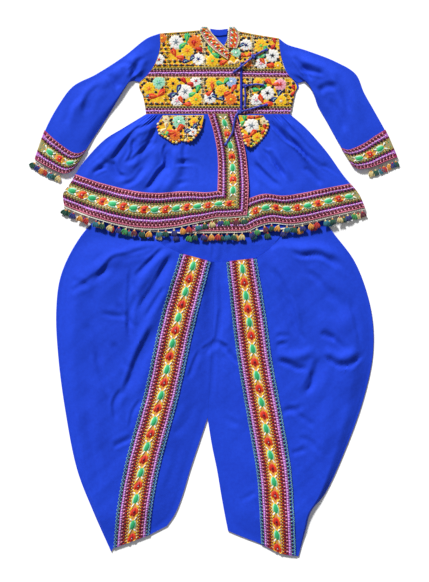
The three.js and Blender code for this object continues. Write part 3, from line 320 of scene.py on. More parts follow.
# Folds of the legs: the line that each follows, its width to each side, its height, and its lean if it has
# one. A fold that leans is steep on one side and slopes gently on the other. A trough's height is below zero.
LEG_FOLDS = {
    "right": [
        ([(-112, 92), (-176, 74), (-204, 66), (-224, 42), (-248, 10)], 11, -2.3, 0.4),
        ([(-100, 90), (-134, 58), (-164, 26)], 9, -2.2, 0.3),
        ([(-82, 78), (-97, 60), (-108, 42), (-120, 18), (-140, -12), (-164, -50)], 10, -2.2, 0.4),
        ([(-170, 30), (-160, -6), (-168, -40), (-172, -70), (-168, -98)], 9, -1.8),
        ([(-230, -44), (-200, -50), (-172, -50)], 8, -1.8, 0.3),
        ([(-120, -62), (-139, -96), (-156, -132), (-172, -178), (-186, -212)], 18, -3.9, 0.5),
        ([(-184, -191), (-202, -223), (-196, -262)], 10, -2.2, 0.3),
        ([(-206, -312), (-180, -300), (-162, -292)], 9, -1.8, 0.3),
        ([(-88, -292), (-56, -258), (-34, -216)], 17, -1.7),
        ([(-206, -98), (-186, -140), (-172, -160)], 12, -1.7),
        ([(-290, 22), (-270, 18), (-250, 6)], 10, -1.5),
        ([(-211, 55), (-239, 32), (-276, 9), (-302, 4)], 10, -1.7, 0.3),
        ([(-170, 55), (-172, 4), (-174, -51), (-168, -106)], 8, -1.8, 0.3),
        ([(-98, 14), (-114, -9), (-128, -33), (-142, -56)], 8, -2.2, 0.3),
        ([(-202, -19), (-179, -51), (-156, -79)], 8, -1.7, 0.3),
        ([(-239, -116), (-225, -171), (-207, -208)], 10, -1.5),
        ([(-126, 96), (-160, 84), (-186, 84)], 8, -1.7, 0.3),
        ([(-31, -116), (-45, -150), (-54, -176)], 8, -1.7, 0.3),
        ([(-146, -212), (-164, -240), (-170, -276)], 8, -1.5, 0.3),
        ([(-262, -60), (-240, -96), (-222, -150)], 13, -1.3),
        ([(-70, -300), (-80, -350), (-100, -400)], 12, -1.1),
        ([(-96, 104), (-150, 88), (-210, 62), (-262, 26)], 20, 3.2),
        ([(-90, 86), (-122, 46), (-150, 8), (-166, -30)], 16, 2.4),
        ([(-76, 64), (-104, -10), (-140, -84), (-172, -150)], 20, 3.2),
        ([(-196, 40), (-220, -10), (-214, -60)], 30, 1.6),
        ([(-250, 60), (-278, -20), (-268, -150)], 44, 2.2),
        ([(-240, -160), (-232, -240), (-228, -330)], 26, 1.4),
        ([(-262, -230), (-246, -310), (-226, -400)], 15, -1.1),
    ],
    "left": [
        ([(147, 87), (171, 72), (210, 72), (240, 54), (254, 44)], 13, -4.0, 0.4),
        ([(143, 106), (160, 102), (197, 109), (214, 111)], 10, -2.8, 0.3),
        ([(108, 87), (120, 94), (132, 100)], 8, -2.0), ([(210, -86), (225, -89), (240, -99)], 10, -2.6, 0.4),
        ([(121, -108), (134, -105), (147, -104)], 8, -1.8), ([(121, -90), (136, -88), (150, -90)], 8, -1.5),
        ([(123, -138), (145, -147), (164, -156), (188, -156)], 9, -3.3, 0.5),
        ([(212, -128), (227, -136), (245, -149), (270, -149), (292, -132), (305, -120)], 10, -3.1, 0.5),
        ([(210, -128), (199, -165), (188, -190), (176, -210)], 18, -2.8, 0.3),
        ([(130, 11), (140, -17), (153, -60), (160, -94)], 13, -1.7),
        ([(214, 2), (240, -13), (266, -43), (281, -73), (288, -100)], 18, -1.8, 0.2),
        ([(132, -241), (156, -236), (178, -230)], 10, -1.7),
        ([(152, -324), (166, -320), (182, -314)], 9, -1.5), ([(17, -249), (32, -260), (49, -268)], 10, -1.7),
        ([(140, 0), (154, -42), (163, -79), (186, -106)], 8, -1.8, 0.3),
        ([(214, -88), (237, -97), (264, -120)], 8, -2.0, 0.3),
        ([(228, 74), (264, 41), (297, 4)], 11, -1.7, 0.3), ([(117, 46), (140, 4), (158, -19)], 8, -1.5),
        ([(190, -157), (195, -180), (181, -203)], 8, -1.8, 0.3),
        ([(140, -227), (172, -250), (204, -273)], 10, -1.4),
        ([(269, -14), (283, -65), (292, -116)], 10, -1.7, 0.3),
        ([(176, 44), (206, 24), (232, -10)], 10, -1.5), ([(164, -290), (190, -300), (216, -330)], 10, -1.3),
        ([(52, -150), (60, -196), (70, -240)], 8, -1.3), ([(50, -420), (66, -410), (84, -400)], 8, -1.3),
        ([(122, 104), (166, 84), (212, 84), (256, 58)], 16, 3.4),
        ([(104, 78), (150, 10), (168, -70)], 22, 2.4), ([(120, -122), (160, -130), (206, -116)], 16, 3.0),
        ([(216, -116), (246, -132), (288, -118)], 15, 2.8), ([(200, -60), (250, -60), (280, -30)], 26, 1.6),
        ([(262, -40), (276, -110), (250, -220)], 44, 2.2),
        ([(230, -180), (226, -260), (196, -350)], 26, 1.4),
    ],
}
CENTRE_FOLDS = [
    ([(8, 50), (13, -38), (10, -78), (1, -97)], 13, -2.6, 0.3),
    ([(2, -96), (-10, -107), (-26, -118)], 11, -3.0, 0.4),
    ([(0, -97), (12, -105), (28, -112)], 11, -2.8, -0.4), ([(-1, -100), (-4, -160), (-9, -232)], 8, -2.2),
    ([(10, -28), (6, -65), (1, -97), (-27, -134)], 8, -2.4, 0.3),
    ([(1, -97), (20, -116), (50, -150)], 8, -2.2, 0.3), ([(-20, 40), (-24, -20), (-16, -80)], 18, 1.8),
    ([(26, 30), (30, -40), (22, -90)], 14, 1.8), ([(-36, -120), (-28, -180), (-22, -236)], 16, 1.2),
    ([(16, -124), (18, -180), (10, -240)], 16, 1.2),
]


def soft(share):
    """Rises smoothly from 0 to 1."""
    share = np.clip(share, 0, 1)
    return share * share * (3 - 2 * share)


def polyline(points):
    """Straight runs between points, each taking an equal share."""
    dots = np.array(points, float)

    def at(share):
        place = np.clip(share, 0, 1) * (len(dots) - 1)
        return np.stack([np.interp(place, np.arange(len(dots)), dots[:, axis]) for axis in (0, 1)], axis=-1)

    return at


def joined(first, second, share):
    """Two smooth lines end to end, meeting at the share."""
    a, b = smooth_line(first), smooth_line(second)

    def at(place):
        place = np.asarray(place, float)
        return np.where((place <= share)[..., None], a(place / share), b((place - share) / (1 - share)))

    return at


def cut(top, bottom, left, right):
    """The flat cloth between four edges, as a function of its shares across and down."""
    upper, lower, near, far = [edge if callable(edge) else smooth_line(edge)
                               for edge in (top, bottom, left, right)]

    def at(across, down):
        across, down = np.broadcast_arrays(np.asarray(across, float), np.asarray(down, float))
        u, v = across[..., None], down[..., None]
        corners = ((upper(0.0) * (1 - u) + upper(1.0) * u) * (1 - v)
                   + (lower(0.0) * (1 - u) + lower(1.0) * u) * v)
        return near(down) * (1 - u) + far(down) * u + upper(across) * (1 - v) + lower(across) * v - corners

    return at


def spread(surface, columns, rows, left=SEAM, right=SEAM, top=SEAM, bottom=SEAM):
    """Points over a flat piece, held back by half a seam at each sewn edge. rows gives the shares down it,
    the same for all columns or a set for each."""
    down = np.asarray(rows, float)
    down = np.repeat(down[:, None], columns + 1, axis=1) if down.ndim == 1 else down
    across = np.broadcast_to(np.linspace(0, 1, columns + 1), down.shape)
    width = np.linalg.norm(surface(0 * across, down) - surface(0 * across + 1, down), axis=-1)
    height = np.linalg.norm(surface(across, 0 * down) - surface(across, 0 * down + 1), axis=-1)
    return surface((left / 2 + across * (width - (left + right) / 2)) / width,
                   (top / 2 + down * (height - (top + bottom) / 2)) / height)


TROUGH = {"round": 0.4, "sharp": 0.6}
BANK = {"rise": 0.28, "at": 1.05, "half": 0.65}  # the cloth beside a trough stands up a little
FOLD_REACH = 2.6  # how far to each side a fold is felt, in widths
FOLD_STARTS, FOLD_ENDS = 5, 4  # a fold takes a fifth of its length to begin and a quarter to run out


def folds(table, depth):
    """The height that a table of folds gives at any place."""
    lines = [(smooth_line(points)(np.linspace(0, 1, 8 * len(points))), *rest) for points, *rest in table]

    def at(x, y):
        total = np.zeros(np.shape(x))
        for dots, *rest in lines:
            width, height, lean = (*rest, 0.0)[:3]
            low, high = dots.min(0) - FOLD_REACH * width, dots.max(0) + FOLD_REACH * width
            near = (x > low[0]) & (x < high[0]) & (y > low[1]) & (y < high[1])
            place = np.stack([x[near], y[near]], axis=-1)
            best, along, side = np.full(len(place), 1e9), np.zeros(len(place)), np.zeros(len(place))
            for k in range(len(dots) - 1):
                run, off = dots[k + 1] - dots[k], place - dots[k]
                share = np.clip(off @ run / (run @ run), 0, 1)
                gap = np.linalg.norm(off - share[:, None] * run, axis=1)
                closer = gap < best
                best[closer] = gap[closer]
                along[closer] = ((k + share) / (len(dots) - 1))[closer]
                side[closer] = np.sign(run[0] * off[:, 1] - run[1] * off[:, 0])[closer]
            reach = width * (1 + lean * side)
            away = best / reach
            trough = TROUGH["round"] * soft(1 - away) + TROUGH["sharp"] * np.clip(1 - away, 0, 1) ** 2
            bank = BANK["rise"] * soft(1 - np.abs(away - BANK["at"]) / BANK["half"])
            form = trough - bank if height < 0 else soft(1 - away)
            total[near] += depth * height * soft(along * FOLD_STARTS) * soft((1 - along) * FOLD_ENDS) * form
        return total

    return at


EASE = 1.1


def held_up(level):
    """The level, eased so that no fold sinks through the layer under it."""
    return np.logaddexp(0, EASE * level) / EASE


def limp(x, y, scale):
    """The slight unevenness of cloth that has been worn and washed: three crossing waves, bent by each other
    so that they don't repeat in sight. Their sum stays between -1 and 1."""
    a, b = x / scale, y / scale
    return (np.sin(2.1 * a + 1.3 * np.sin(1.7 * b)) + np.sin(2.6 * b + 1.1 * np.sin(2.3 * a + 1))
            + 0.6 * np.sin(4.7 * a - 3.9 * b + 2)) / 2.6


def shell(name, outer, inner, materials, ring=False, kinds=None):
    """A closed thin body between two nets of the same layout. kinds gives each face of a net its material."""
    rows, columns = outer.shape[:2]
    count = rows * columns
    points = np.concatenate([outer.reshape(-1, 3), inner.reshape(-1, 3)])
    face, back = grid_faces(rows, columns, ring), grid_faces(rows, columns, ring, count)[:, ::-1]
    edges = np.arange(columns if ring else columns - 1)
    following = (edges + 1) % columns
    last = (rows - 1) * columns
    low, low_following = last + edges, last + following
    rims = [np.stack([following, edges, count + edges, count + following], axis=1),
            np.stack([low, low_following, count + low_following, count + low], axis=1)]
    if not ring:
        down = np.arange(rows - 1) * columns
        far = down + columns - 1
        rims += [np.stack([down, down + columns, count + down + columns, count + down], axis=1),
                 np.stack([far + columns, far, count + far, count + far + columns], axis=1)]
    faces = facing_out(points, [face, back, *rims])
    if kinds is not None:
        kinds = np.concatenate([kinds, kinds, np.full(sum(len(r) for r in rims), int(kinds[0]))])
    return make(name, points, faces, materials, kinds)


def raised(net, by):
    """The net, moved up."""
    return net + np.array([0, 0, by])


WAVE_PERIOD = 2 * math.pi / 20  # of Blender's wave texture at scale 1, in metres
THREAD_PITCH = 1.1 * MM


def plain_woven_cotton(name, grain, deep="#0c34b8", bright="#1340cc"):
    """Cotton poplin, piece-dyed royal blue and pressed: matt, with a faint bloom where it turns away. The
    threads are 0.35 mm apart in the real cloth, and are drawn 1.1 mm apart so that they show."""
    made, tree, shader, place = material(name, Roughness=0.82, Specular_IOR_Level=0.25, Sheen_Weight=0.05,
                                         Sheen_Roughness=0.5, Sheen_Tint=linear("#6f92ff"))
    turned = node(tree, "ShaderNodeMapping", {"Vector": place, "Rotation": (0, 0, grain)}).outputs["Vector"]
    threads = [node(tree, "ShaderNodeTexWave", {"Vector": turned, "Scale": WAVE_PERIOD / THREAD_PITCH,
                                                "Distortion": 1.2, "Detail": 1.0}, bands_direction=axis)
               for axis in ("X", "Y")]
    weave = node(tree, "ShaderNodeMath", {0: threads[0].outputs["Fac"], 1: threads[1].outputs["Fac"]},
                 operation="MULTIPLY")
    dye = node(tree, "ShaderNodeTexNoise", {"Vector": place, "Scale": 14.0, "Detail": 4.0, "Roughness": 0.6})
    slub = node(tree, "ShaderNodeTexNoise", {"Vector": turned, "Scale": 180.0, "Detail": 2.0})
    uneven = node(tree, "ShaderNodeMath", {0: dye.outputs["Fac"], 1: slub.outputs["Fac"]}, operation="ADD")
    share = node(tree, "ShaderNodeMapRange", {"Value": uneven.outputs[0], "From Min": 0.5, "From Max": 1.5})
    tone = node(tree, "ShaderNodeMix", {0: share.outputs[0], 6: linear(deep), 7: linear(bright)},
                data_type="RGBA")
    tree.links.new(tone.outputs[2], shader.inputs["Base Color"])
    relief = node(tree, "ShaderNodeBump", {"Height": weave.outputs[0], "Distance": 0.25 * MM,
                                           "Strength": 0.35})
    creased = node(tree, "ShaderNodeBump", {"Height": slub.outputs["Fac"], "Distance": 0.6 * MM,
                                            "Strength": 0.25, "Normal": relief.outputs["Normal"]})
    tree.links.new(creased.outputs["Normal"], shader.inputs["Normal"])
    return made


BLUE_DHOTI = plain_woven_cotton("plain_woven_cotton_dhoti", math.radians(4))
dhoti_front, dhoti_cloth = {}, {}
for side in ("right", "left"):
    leg = LEGS[side]
    seams = [joined(CENTRE_SEAM, leg["inseam"], CROTCH_SHARE), leg["band_inner"], leg["band_outer"],
             leg["side"]]
    rows = np.linspace(0, 1, LEG_ROWS + 1)
    strips = []
    for k, columns in enumerate(STRIP_COLUMNS):
        strip = cut(polyline(leg["tops"][k]), leg["hems"][k], seams[k], seams[k + 1])
        net = spread(strip, columns, rows, left=0 if k else CENTRE_GAP, right=0, top=0, bottom=0)
        strips.append(net[:, 1 if k else 0:])
    flat = np.concatenate(strips, axis=1)
    x, y = flat[..., 0], flat[..., 1]
    across = np.interp(np.arange(flat.shape[1]), np.cumsum((0, *STRIP_COLUMNS)), STRIP_SHARES)[None]
    down = rows[:, None]
    held = SEAM_AIR["most"] * soft((y - SEAM_AIR["from"]) / SEAM_AIR["over"])
    inner = held + (1 - held) * soft(across / INNER_FADE)
    free = inner * soft((1 - across) / OUTER_FADE)
    hem = soft((1 - down) / HEM_FADE)
    shaped = (folds(LEG_FOLDS[side], LEG_DEPTH)(x, y) + WAVES["rise"] * limp(x, y, WAVES["scale"])
              + RIPPLES["rise"] * limp(y, x, RIPPLES["scale"]))
    shaped = shaped * free * np.maximum(hem, HEM_FOLDS)
    centre = folds(CENTRE_FOLDS, LEG_DEPTH)(x, y) * np.maximum(held, inner * hem)
    air = soft((COVERED["from"] - y) / COVERED["over"]) * soft((LEG_PUFF * free * hem) / CLOTH)
    level = WALLS + air * held_up(LEG_PUFF * free * hem + shaped + centre)
    front = np.concatenate([flat, level[..., None]], axis=2)
    dhoti_front[side] = front
    outward = flat[:, -1] - flat[:, -2]
    outward /= np.linalg.norm(outward, axis=1, keepdims=True)

    def leg_wall(depth):
        """The leg's outer face, moved in by a depth: front, round the side fold, and back."""
        radius = WALLS / 2
        bend = []
        for angle in np.radians(SIDE_BEND):
            place = flat[:, -1] + outward * ((radius - depth) * math.cos(angle) - radius)
            rise = np.full((len(flat), 1), radius + (radius - depth) * math.sin(angle))
            bend.append(np.concatenate([place, rise], axis=1)[:, None])
        over = raised(front, -depth)
        over[:, -1, :2] -= outward * radius
        back = over[:, ::-BACK_STEP].copy()
        back[..., 2] = depth
        return np.concatenate([over, *bend, back], axis=1)

    leg_cloth = shell(f"dhoti_{side}_leg_cloth", leg_wall(0), leg_wall(CLOTH), [BLUE_DHOTI])
    keep(leg_cloth, "blue_cotton", f"dhoti_leg_{side}")
    dhoti_cloth[side] = leg_cloth

# ---------------------------------------------------------------- dhoti laces
# A broad machine-made lace runs down each leg over its front seam: a woven strip of coloured stripes, with
# padded ovals in rayon satin stitch, couched lilac cord, rows of knots and a looped edge.

THREAD_COLOURS = {
    "white": "#f6f3ee", "cream": "#ecdcae", "yellow": "#f8c820", "mustard": "#e0a828", "orange": "#ee7a22",
    "vermilion": "#e0401a", "red": "#c41e1a", "maroon": "#5a0824", "mauve": "#b468c4", "lilac": "#d494e6",
    "pink": "#f2a4b8", "salmon": "#d87e90", "rose": "#a02c66", "wine": "#701436", "rust": "#a4442a",
    "apricot": "#e0924e", "sand": "#a4986a", "khaki": "#9c8c48", "indigo": "#1c36b8", "navy": "#1c2070",
    "black": "#17121c", "green": "#34b870", "lime": "#8ccc48", "mint": "#a6e2c4", "teal": "#7cb6ba",
    "grey": "#7c8894", "sky": "#a4bdec",
}
STRAND_PITCH = 1.0 * MM


def darker(colour, share):
    """A linear colour with that share of its light."""
    return (*[share * part for part in colour[:3]], colour[3])


def rayon_thread(name):
    """Rayon embroidery thread, in satin stitch: glossy along its strands, with painted shade in the grooves
    between them. They are 0.4 mm apart in the real lace, and are drawn 1 mm apart so that they show."""
    made, tree, shader, place = material(f"rayon_thread_{name}", Roughness=0.46, Specular_IOR_Level=0.32,
                                         Anisotropic=0.4, Sheen_Weight=0.05)
    strands = node(tree, "ShaderNodeTexWave", {"Vector": place, "Scale": WAVE_PERIOD / STRAND_PITCH,
                                               "Distortion": 2.5, "Detail": 2.0, "Detail Scale": 2.0},
                   bands_direction="DIAGONAL")
    colour = linear(THREAD_COLOURS[name])
    # The darker half of the strand wave is painted shade: it falls where the bump is low, in the grooves
    # between the strands.
    tone = node(tree, "ShaderNodeMix", {0: strands.outputs["Fac"], 6: darker(colour, 0.70), 7: colour},
                data_type="RGBA")
    tree.links.new(tone.outputs[2], shader.inputs["Base Color"])
    relief = node(tree, "ShaderNodeBump", {"Height": strands.outputs["Fac"], "Distance": 0.3 * MM,
                                           "Strength": 0.6})
    tree.links.new(relief.outputs["Normal"], shader.inputs["Normal"])
    return made


THREADS = {name: rayon_thread(name) for name in THREAD_COLOURS}


def padded(sides, pinch=0.0, taper=0.0, levels=((1.0, 0.0), (0.88, 0.62), (0.5, 0.94)), crowned=True):
    """A shape in satin stitch over padding, as points and faces: a closed low dome, 1 to each side. pinch
    sharpens both its ends, and taper one of them. A shape that isn't crowned has a flat top."""
    turn = np.linspace(0, 2 * math.pi, sides, endpoint=False)
    wide = np.sin(turn) * np.abs(np.sin(turn)) ** pinch * (1 - taper * 0.5 * (1 + np.cos(turn)))
    rings = [np.stack([np.cos(turn) * share, wide * share, np.full(sides, level)], axis=1)
             for share, level in levels]
    ring = np.arange(sides)
    top = (len(levels) - 1) * sides + ring
    faces = [grid_faces(len(levels), sides, wrap=True), ring[None, ::-1]]
    if not crowned:
        return np.concatenate(rings), [*faces, top[None]]
    apex = len(levels) * sides
    crown = np.stack([top, np.roll(top, -1), np.full(sides, apex)], axis=1)
    return np.concatenate([*rings, [[0, 0, 1]]]), [*faces, crown]


LOW_DOME = ((1.0, 0.0), (0.7, 0.82))
ROUND = padded(8, levels=LOW_DOME)
BIG_ROUND = padded(18)
DOT = padded(5, levels=((1.0, 0.0), (0.6, 0.92)), crowned=False)
LEAF = padded(10, pinch=0.6, levels=LOW_DOME)
DROP = padded(10, taper=0.85, levels=LOW_DOME)


class Needlework:
    """Raised stitches on a piece, gathered into one mesh. surface gives a place from two lengths and a
    height."""

    def __init__(self, surface):
        self.surface = surface
        self.points, self.faces, self.kinds, self.used, self.count = [], [], [], [], 0

    def add(self, colour, points, faces):
        """Bodies of the same layout, in a thread."""
        if colour not in self.used:
            self.used.append(colour)
        copies, size = points.shape[:2]
        starts = self.count + size * np.arange(copies)
        for group in faces:
            self.faces.append((group[None] + starts[:, None, None]).reshape(-1, group.shape[1]))
            self.kinds.append(np.full(len(self.faces[-1]), self.used.index(colour)))
        self.points.append(points.reshape(-1, 3))
        self.count += copies * size

    def sew(self, colour, shape, s, t, size, height, turn=0.0):
        """Copies of a shape at the places. size is its half length and half width."""
        points, faces = shape
        s, t, turn, height = [v[:, None] for v in np.broadcast_arrays(*np.atleast_1d(s, t, turn, height))]
        long, wide = points[:, 0] * size[0], points[:, 1] * size[1]
        along = s + long * np.cos(turn) - wide * np.sin(turn)
        across = t + long * np.sin(turn) + wide * np.cos(turn)
        self.add(colour, self.surface(along, across, points[:, 2] * height), faces)

    def lay(self, colour, s, t, width, height):
        """A laid thread through the places."""
        place = np.stack(np.broadcast_arrays(s, t), axis=1).astype(float)
        ahead = np.gradient(place, axis=0)
        ahead /= np.linalg.norm(ahead, axis=1, keepdims=True)
        section = np.array([(-0.5, 0), (-0.3, 0.85), (0.3, 0.85), (0.5, 0)])
        along = place[:, :1] - ahead[:, 1:] * section[:, 0] * width
        across = place[:, 1:] + ahead[:, :1] * section[:, 0] * width
        points = self.surface(along, across, section[:, 1] * height * np.ones_like(along)).reshape(-1, 3)
        last = 4 * (len(place) - 1)
        ends = np.array([[3, 2, 1, 0], [last, last + 1, last + 2, last + 3]])
        faces = [grid_faces(len(place), 4, wrap=True), ends]
        self.add(colour, points[None], facing_out(points, faces))

    def finish(self, name):
        return make(name, np.concatenate(self.points), self.faces, [THREADS[c] for c in self.used],
                    np.concatenate(self.kinds))


class Ribbon:
    """A strip of lace on the cloth under it: a net of places, read by lengths along and across it. reach
    gives the length at each share of the width, for a mitred end."""

    def __init__(self, net, width, reach=None):
        self.net, self.width = net, width
        steps = np.linalg.norm(np.diff(net.mean(axis=1), axis=0), axis=1)
        self.along = np.concatenate([[0], np.cumsum(steps)])
        self.length = self.along[-1]
        self.reach = reach or (lambda share: self.length + 0 * share)

    def __call__(self, s, t, h=0.0):
        rows, columns = self.net.shape[:2]
        # A place at the very end is read in the last cell of the net.
        row = np.clip(np.interp(s, self.along, np.arange(rows)), 0, rows - 1.0001)
        column = np.clip(np.asarray(t) / self.width * (columns - 1), 0, columns - 1.0001)
        r, c = row.astype(int), column.astype(int)
        a, b = (row - r)[..., None], (column - c)[..., None]
        place = ((self.net[r, c] * (1 - b) + self.net[r, c + 1] * b) * (1 - a)
                 + (self.net[r + 1, c] * (1 - b) + self.net[r + 1, c + 1] * b) * a)
        place[..., 2] += h
        return place

    def places(self, t, pitch, start=0.5):
        """Places along the lace at a whole number of repeats."""
        end = float(self.reach(t / self.width))
        count = max(1, round(end / pitch))
        return (np.arange(count) + start) * end / count


GROUND_STEP = 4.0


def woven_ground(name, ribbon, stripes, thick=BAND):
    """The lace's own woven strip. Each stripe runs to a share of the width, in a thread."""
    edges, kinds, used = [0.0], [], list(dict.fromkeys(colour for _, colour in stripes))
    for to, colour in stripes:
        count = max(1, round((to - edges[-1]) * ribbon.width / GROUND_STEP))
        edges += list(np.linspace(edges[-1], to, count + 1)[1:])
        kinds += [used.index(colour)] * count
    share = np.array(edges)[None]
    rows = max(2, round(ribbon.length / GROUND_STEP))
    s = np.linspace(0, 1, rows + 1)[:, None] * ribbon.reach(share)
    t = share * ribbon.width + 0 * s
    return shell(name, ribbon(s, t, thick), ribbon(s, t, 0.0), [THREADS[c] for c in used],
                 kinds=np.tile(kinds, rows))


def mirrored(half):
    """Stripes of a lace that is the same on both sides, from those of one half."""
    edges = [0.0, *[to for to, _ in half]]
    return [*half, *[(1 - edges[k], half[k][1]) for k in range(len(half) - 1, -1, -1)]]


ROW_SWAY = 0.4  # how far a row wanders to each side
STITCH_TURN = 0.3  # how far a stitch turns out of its row, in radians


def sew_rows(work, ribbon, rows, from_edge, sway, end=math.inf):
    """Rows of stitches along a lace. Each has its distance from the edge, its spacing, its first place, its
    thread and its stitch's shape, size and height."""
    for t, pitch, first, colour, shape, size, height in rows:
        row = from_edge(t)
        places = ribbon.places(row, pitch) + first - pitch / 2
        places = places[(places > size[0]) & (places < end - size[0])]
        work.sew(colour, shape, places, row + ROW_SWAY * np.sin(places / sway), size, height,
                 STITCH_TURN * np.sin(places))


DHOTI_LACE = 69.0
DHOTI_STRIPES = mirrored([(0.06, "indigo"), (0.115, "navy"), (0.185, "mauve"), (0.25, "rose"), (0.31, "wine"),
                          (0.36, "rust"), (0.5, "apricot")])
DHOTI_REPEAT = 54.0
DHOTI_ROWS = (
    (1.0, 7.2, 3.6, "teal", DOT, (1.6, 0.8), 0.9), (6.0, 7.2, 0.0, "black", ROUND, (2.2, 1.9), 1.0),
    (6.0, 7.2, 3.6, "teal", DOT, (1.6, 1.7), 0.9), (10.6, 4.8, 0.0, "lilac", ROUND, (2.0, 2.0), 1.6),
    (10.6, 7.2, 0.0, "white", DOT, (1.2, 1.1), 2.0), (15.2, 7.2, 3.6, "maroon", ROUND, (2.3, 2.3), 1.1),
    (15.2, 7.2, 0.0, "pink", DOT, (1.4, 2.2), 1.0), (19.4, 7.2, 1.4, "maroon", ROUND, (2.1, 1.8), 1.1),
    (19.4, 7.2, 5.0, "vermilion", DOT, (1.3, 1.6), 0.9), (22.6, 5.6, 0.0, "yellow", DOT, (1.6, 1.1), 0.8),
    (22.6, 5.6, 2.8, "maroon", DOT, (1.1, 1.0), 0.8), (25.4, 6.4, 1.0, "cream", DOT, (1.8, 1.2), 0.8),
    (25.4, 6.4, 4.2, "rust", DOT, (1.4, 1.1), 0.8), (28.0, 6.8, 2.0, "yellow", DOT, (1.7, 1.1), 0.8),
)
LOOPED_EDGE = {"in": 2.2, "sway": 1.5, "pitch": 7.2, "step": 1.4, "thread": 1.1}

for side in ("right", "left"):
    start = STRIP_COLUMNS[0]
    under_lace = dhoti_front[side][:, start:start + STRIP_COLUMNS[1] + 1]
    ribbon = Ribbon(raised(under_lace, SEAM), DHOTI_LACE)
    ground = woven_ground(f"dhoti_{side}_lace_ground", ribbon, DHOTI_STRIPES)
    keep(ground, "lace", f"dhoti_band_{side}")
    work = Needlework(lambda s, t, h: ribbon(s, t, BAND + h))
    for from_edge in (lambda t: t, lambda t: DHOTI_LACE - t):
        loops = np.linspace(1, ribbon.length - 1, int(ribbon.length / LOOPED_EDGE["step"]))
        wave = LOOPED_EDGE["sway"] * np.sin(2 * math.pi * loops / LOOPED_EDGE["pitch"])
        work.lay("teal", loops, from_edge(LOOPED_EDGE["in"] + wave), LOOPED_EDGE["thread"],
                 LOOPED_EDGE["thread"])
        sew_rows(work, ribbon, DHOTI_ROWS, from_edge, 8, ribbon.length)
    middle = DHOTI_LACE / 2
    ovals = ribbon.places(middle, DHOTI_REPEAT, start=0.35)
    gap = ovals[1] - ovals[0]
    reds = np.append(ovals[0] - gap / 2, ovals + gap / 2)
    reds = reds[(reds > 6) & (reds < ribbon.length - 6)]
    work.sew("yellow", BIG_ROUND, ovals, middle, (12.6, 9.0), 0.7)
    work.sew("cream", BIG_ROUND, ovals, middle, (10.6, 7.0), 1.0)
    for tip in (-1, 1):
        for end in (-1, 1):
            work.sew("white", DROP, ovals + 11.4 * end, middle + 3.8 * tip, (5.4, 2.6), 1.7,
                     (math.pi if end < 0 else 0) + math.pi + 0.55 * tip * end)
            work.sew("yellow", LEAF, reds + 9.4 * end, middle + 5.6 * tip, (6.0, 1.8), 1.3, -0.5 * tip * end)
        work.sew("mint", LEAF, ovals, middle + 4.2 * tip, (10.4, 3.0), 1.7, 0.1 * tip)
        work.sew("vermilion", LEAF, reds, middle + 5.0 * tip, (8.6, 2.8), 1.4, 0.2 * tip)
    work.sew("green", LEAF, ovals, middle, (11.4, 6.6), 2.1)
    work.sew("red", LEAF, reds, middle, (9.4, 5.0), 1.8)
    work.sew("maroon", ROUND, reds, middle, (3.8, 2.8), 2.2)
    work.sew("white", DOT, reds[::2] + 1, middle, (1.6, 1.6), 2.5)
    stitches = keep(work.finish(f"dhoti_{side}_lace_stitches"), "lace")

# ---------------------------------------------------------------- dhoti hip yoke and waistband
# A shaped band of double cotton joins both legs at the hips, and an elastic casing gathers its top. Only a
# strip of the front shows below the kediyu, with small tucks where the legs are set in.

WAISTBAND = {"left": -126, "right": 122, "top": 191, "bottom": 163, "wall": 1.5, "rise": 4.2}
TUCK_DEPTH = 3.0
TUCKED = {"lowest": -1.6, "highest": 1.2, "from": 112, "over": 14}
HIP_AIR = {"most": 1.7, "from": 116, "over": 12}
YOKE_COLUMNS = 80
YOKE_ROWS = 24
TUCKS = [
    ([(-14, 112), (-18, 90), (-20, 62)], 6, -0.9, 0.4), ([(40, 112), (34, 90), (31, 60)], 6, -0.9, 0.4),
    ([(4, 112), (6, 90), (3, 60)], 8, 0.6), ([(-34, 112), (-44, 92), (-50, 70)], 6, -0.8, 0.4),
    ([(52, 112), (60, 92), (66, 70)], 6, -0.8, 0.4), ([(66, 108), (84, 100), (104, 104)], 7, -0.8, 0.4),
    ([(-66, 108), (-90, 100), (-104, 92)], 7, -0.8, 0.4), ([(-52, 112), (-66, 92), (-82, 80)], 8, 0.6),
]

edge = []
for top in (*[run[::-1] for run in LEGS["right"]["tops"][::-1]], *LEGS["left"]["tops"]):
    edge += [point for point in top if not edge or math.dist(point, edge[-1]) > 1]
corners = [(WAISTBAND["left"], WAISTBAND["bottom"]), (WAISTBAND["right"], WAISTBAND["bottom"])]
hip = cut(corners, polyline(edge), [corners[0], edge[0]], [corners[1], edge[-1]])
flat = spread(hip, YOKE_COLUMNS, np.linspace(0, 1, YOKE_ROWS + 1), left=0, right=0)
x, y = flat[..., 0], flat[..., 1]
tucked = np.clip(folds(TUCKS, TUCK_DEPTH)(x, y) + 0.4 * limp(x, y, 20), TUCKED["lowest"], TUCKED["highest"])
tucked = tucked * soft((TUCKED["from"] - y) / TUCKED["over"])
hip_air = HIP_AIR["most"] * soft((HIP_AIR["from"] - y) / HIP_AIR["over"])
for name, low, shape in (("back", 0.0, 0 * tucked), ("front", CLOTH + SEAM, hip_air + tucked)):
    net = np.concatenate([flat, (low + 0 * x)[..., None]], axis=2)
    over = np.concatenate([flat, (low + CLOTH + shape)[..., None]], axis=2)
    panel = shell(f"dhoti_hip_{name}_cloth", over, net, [BLUE_DHOTI])
    keep(panel, "blue_cotton", f"dhoti_yoke_{name}")

GATHERS = 22
FLATNESS = 14  # how sharply the casing turns at its two side folds
GATHER_RISE = {"edge": 0.12, "middle": 0.35}
around = np.linspace(0, 2 * math.pi, 241)[1:]
square = np.sign(np.sin(around)) * np.minimum(1, np.abs(np.sin(around)) * FLATNESS)
middle = (WAISTBAND["left"] + WAISTBAND["right"]) / 2
half = (WAISTBAND["right"] - WAISTBAND["left"]) / 2


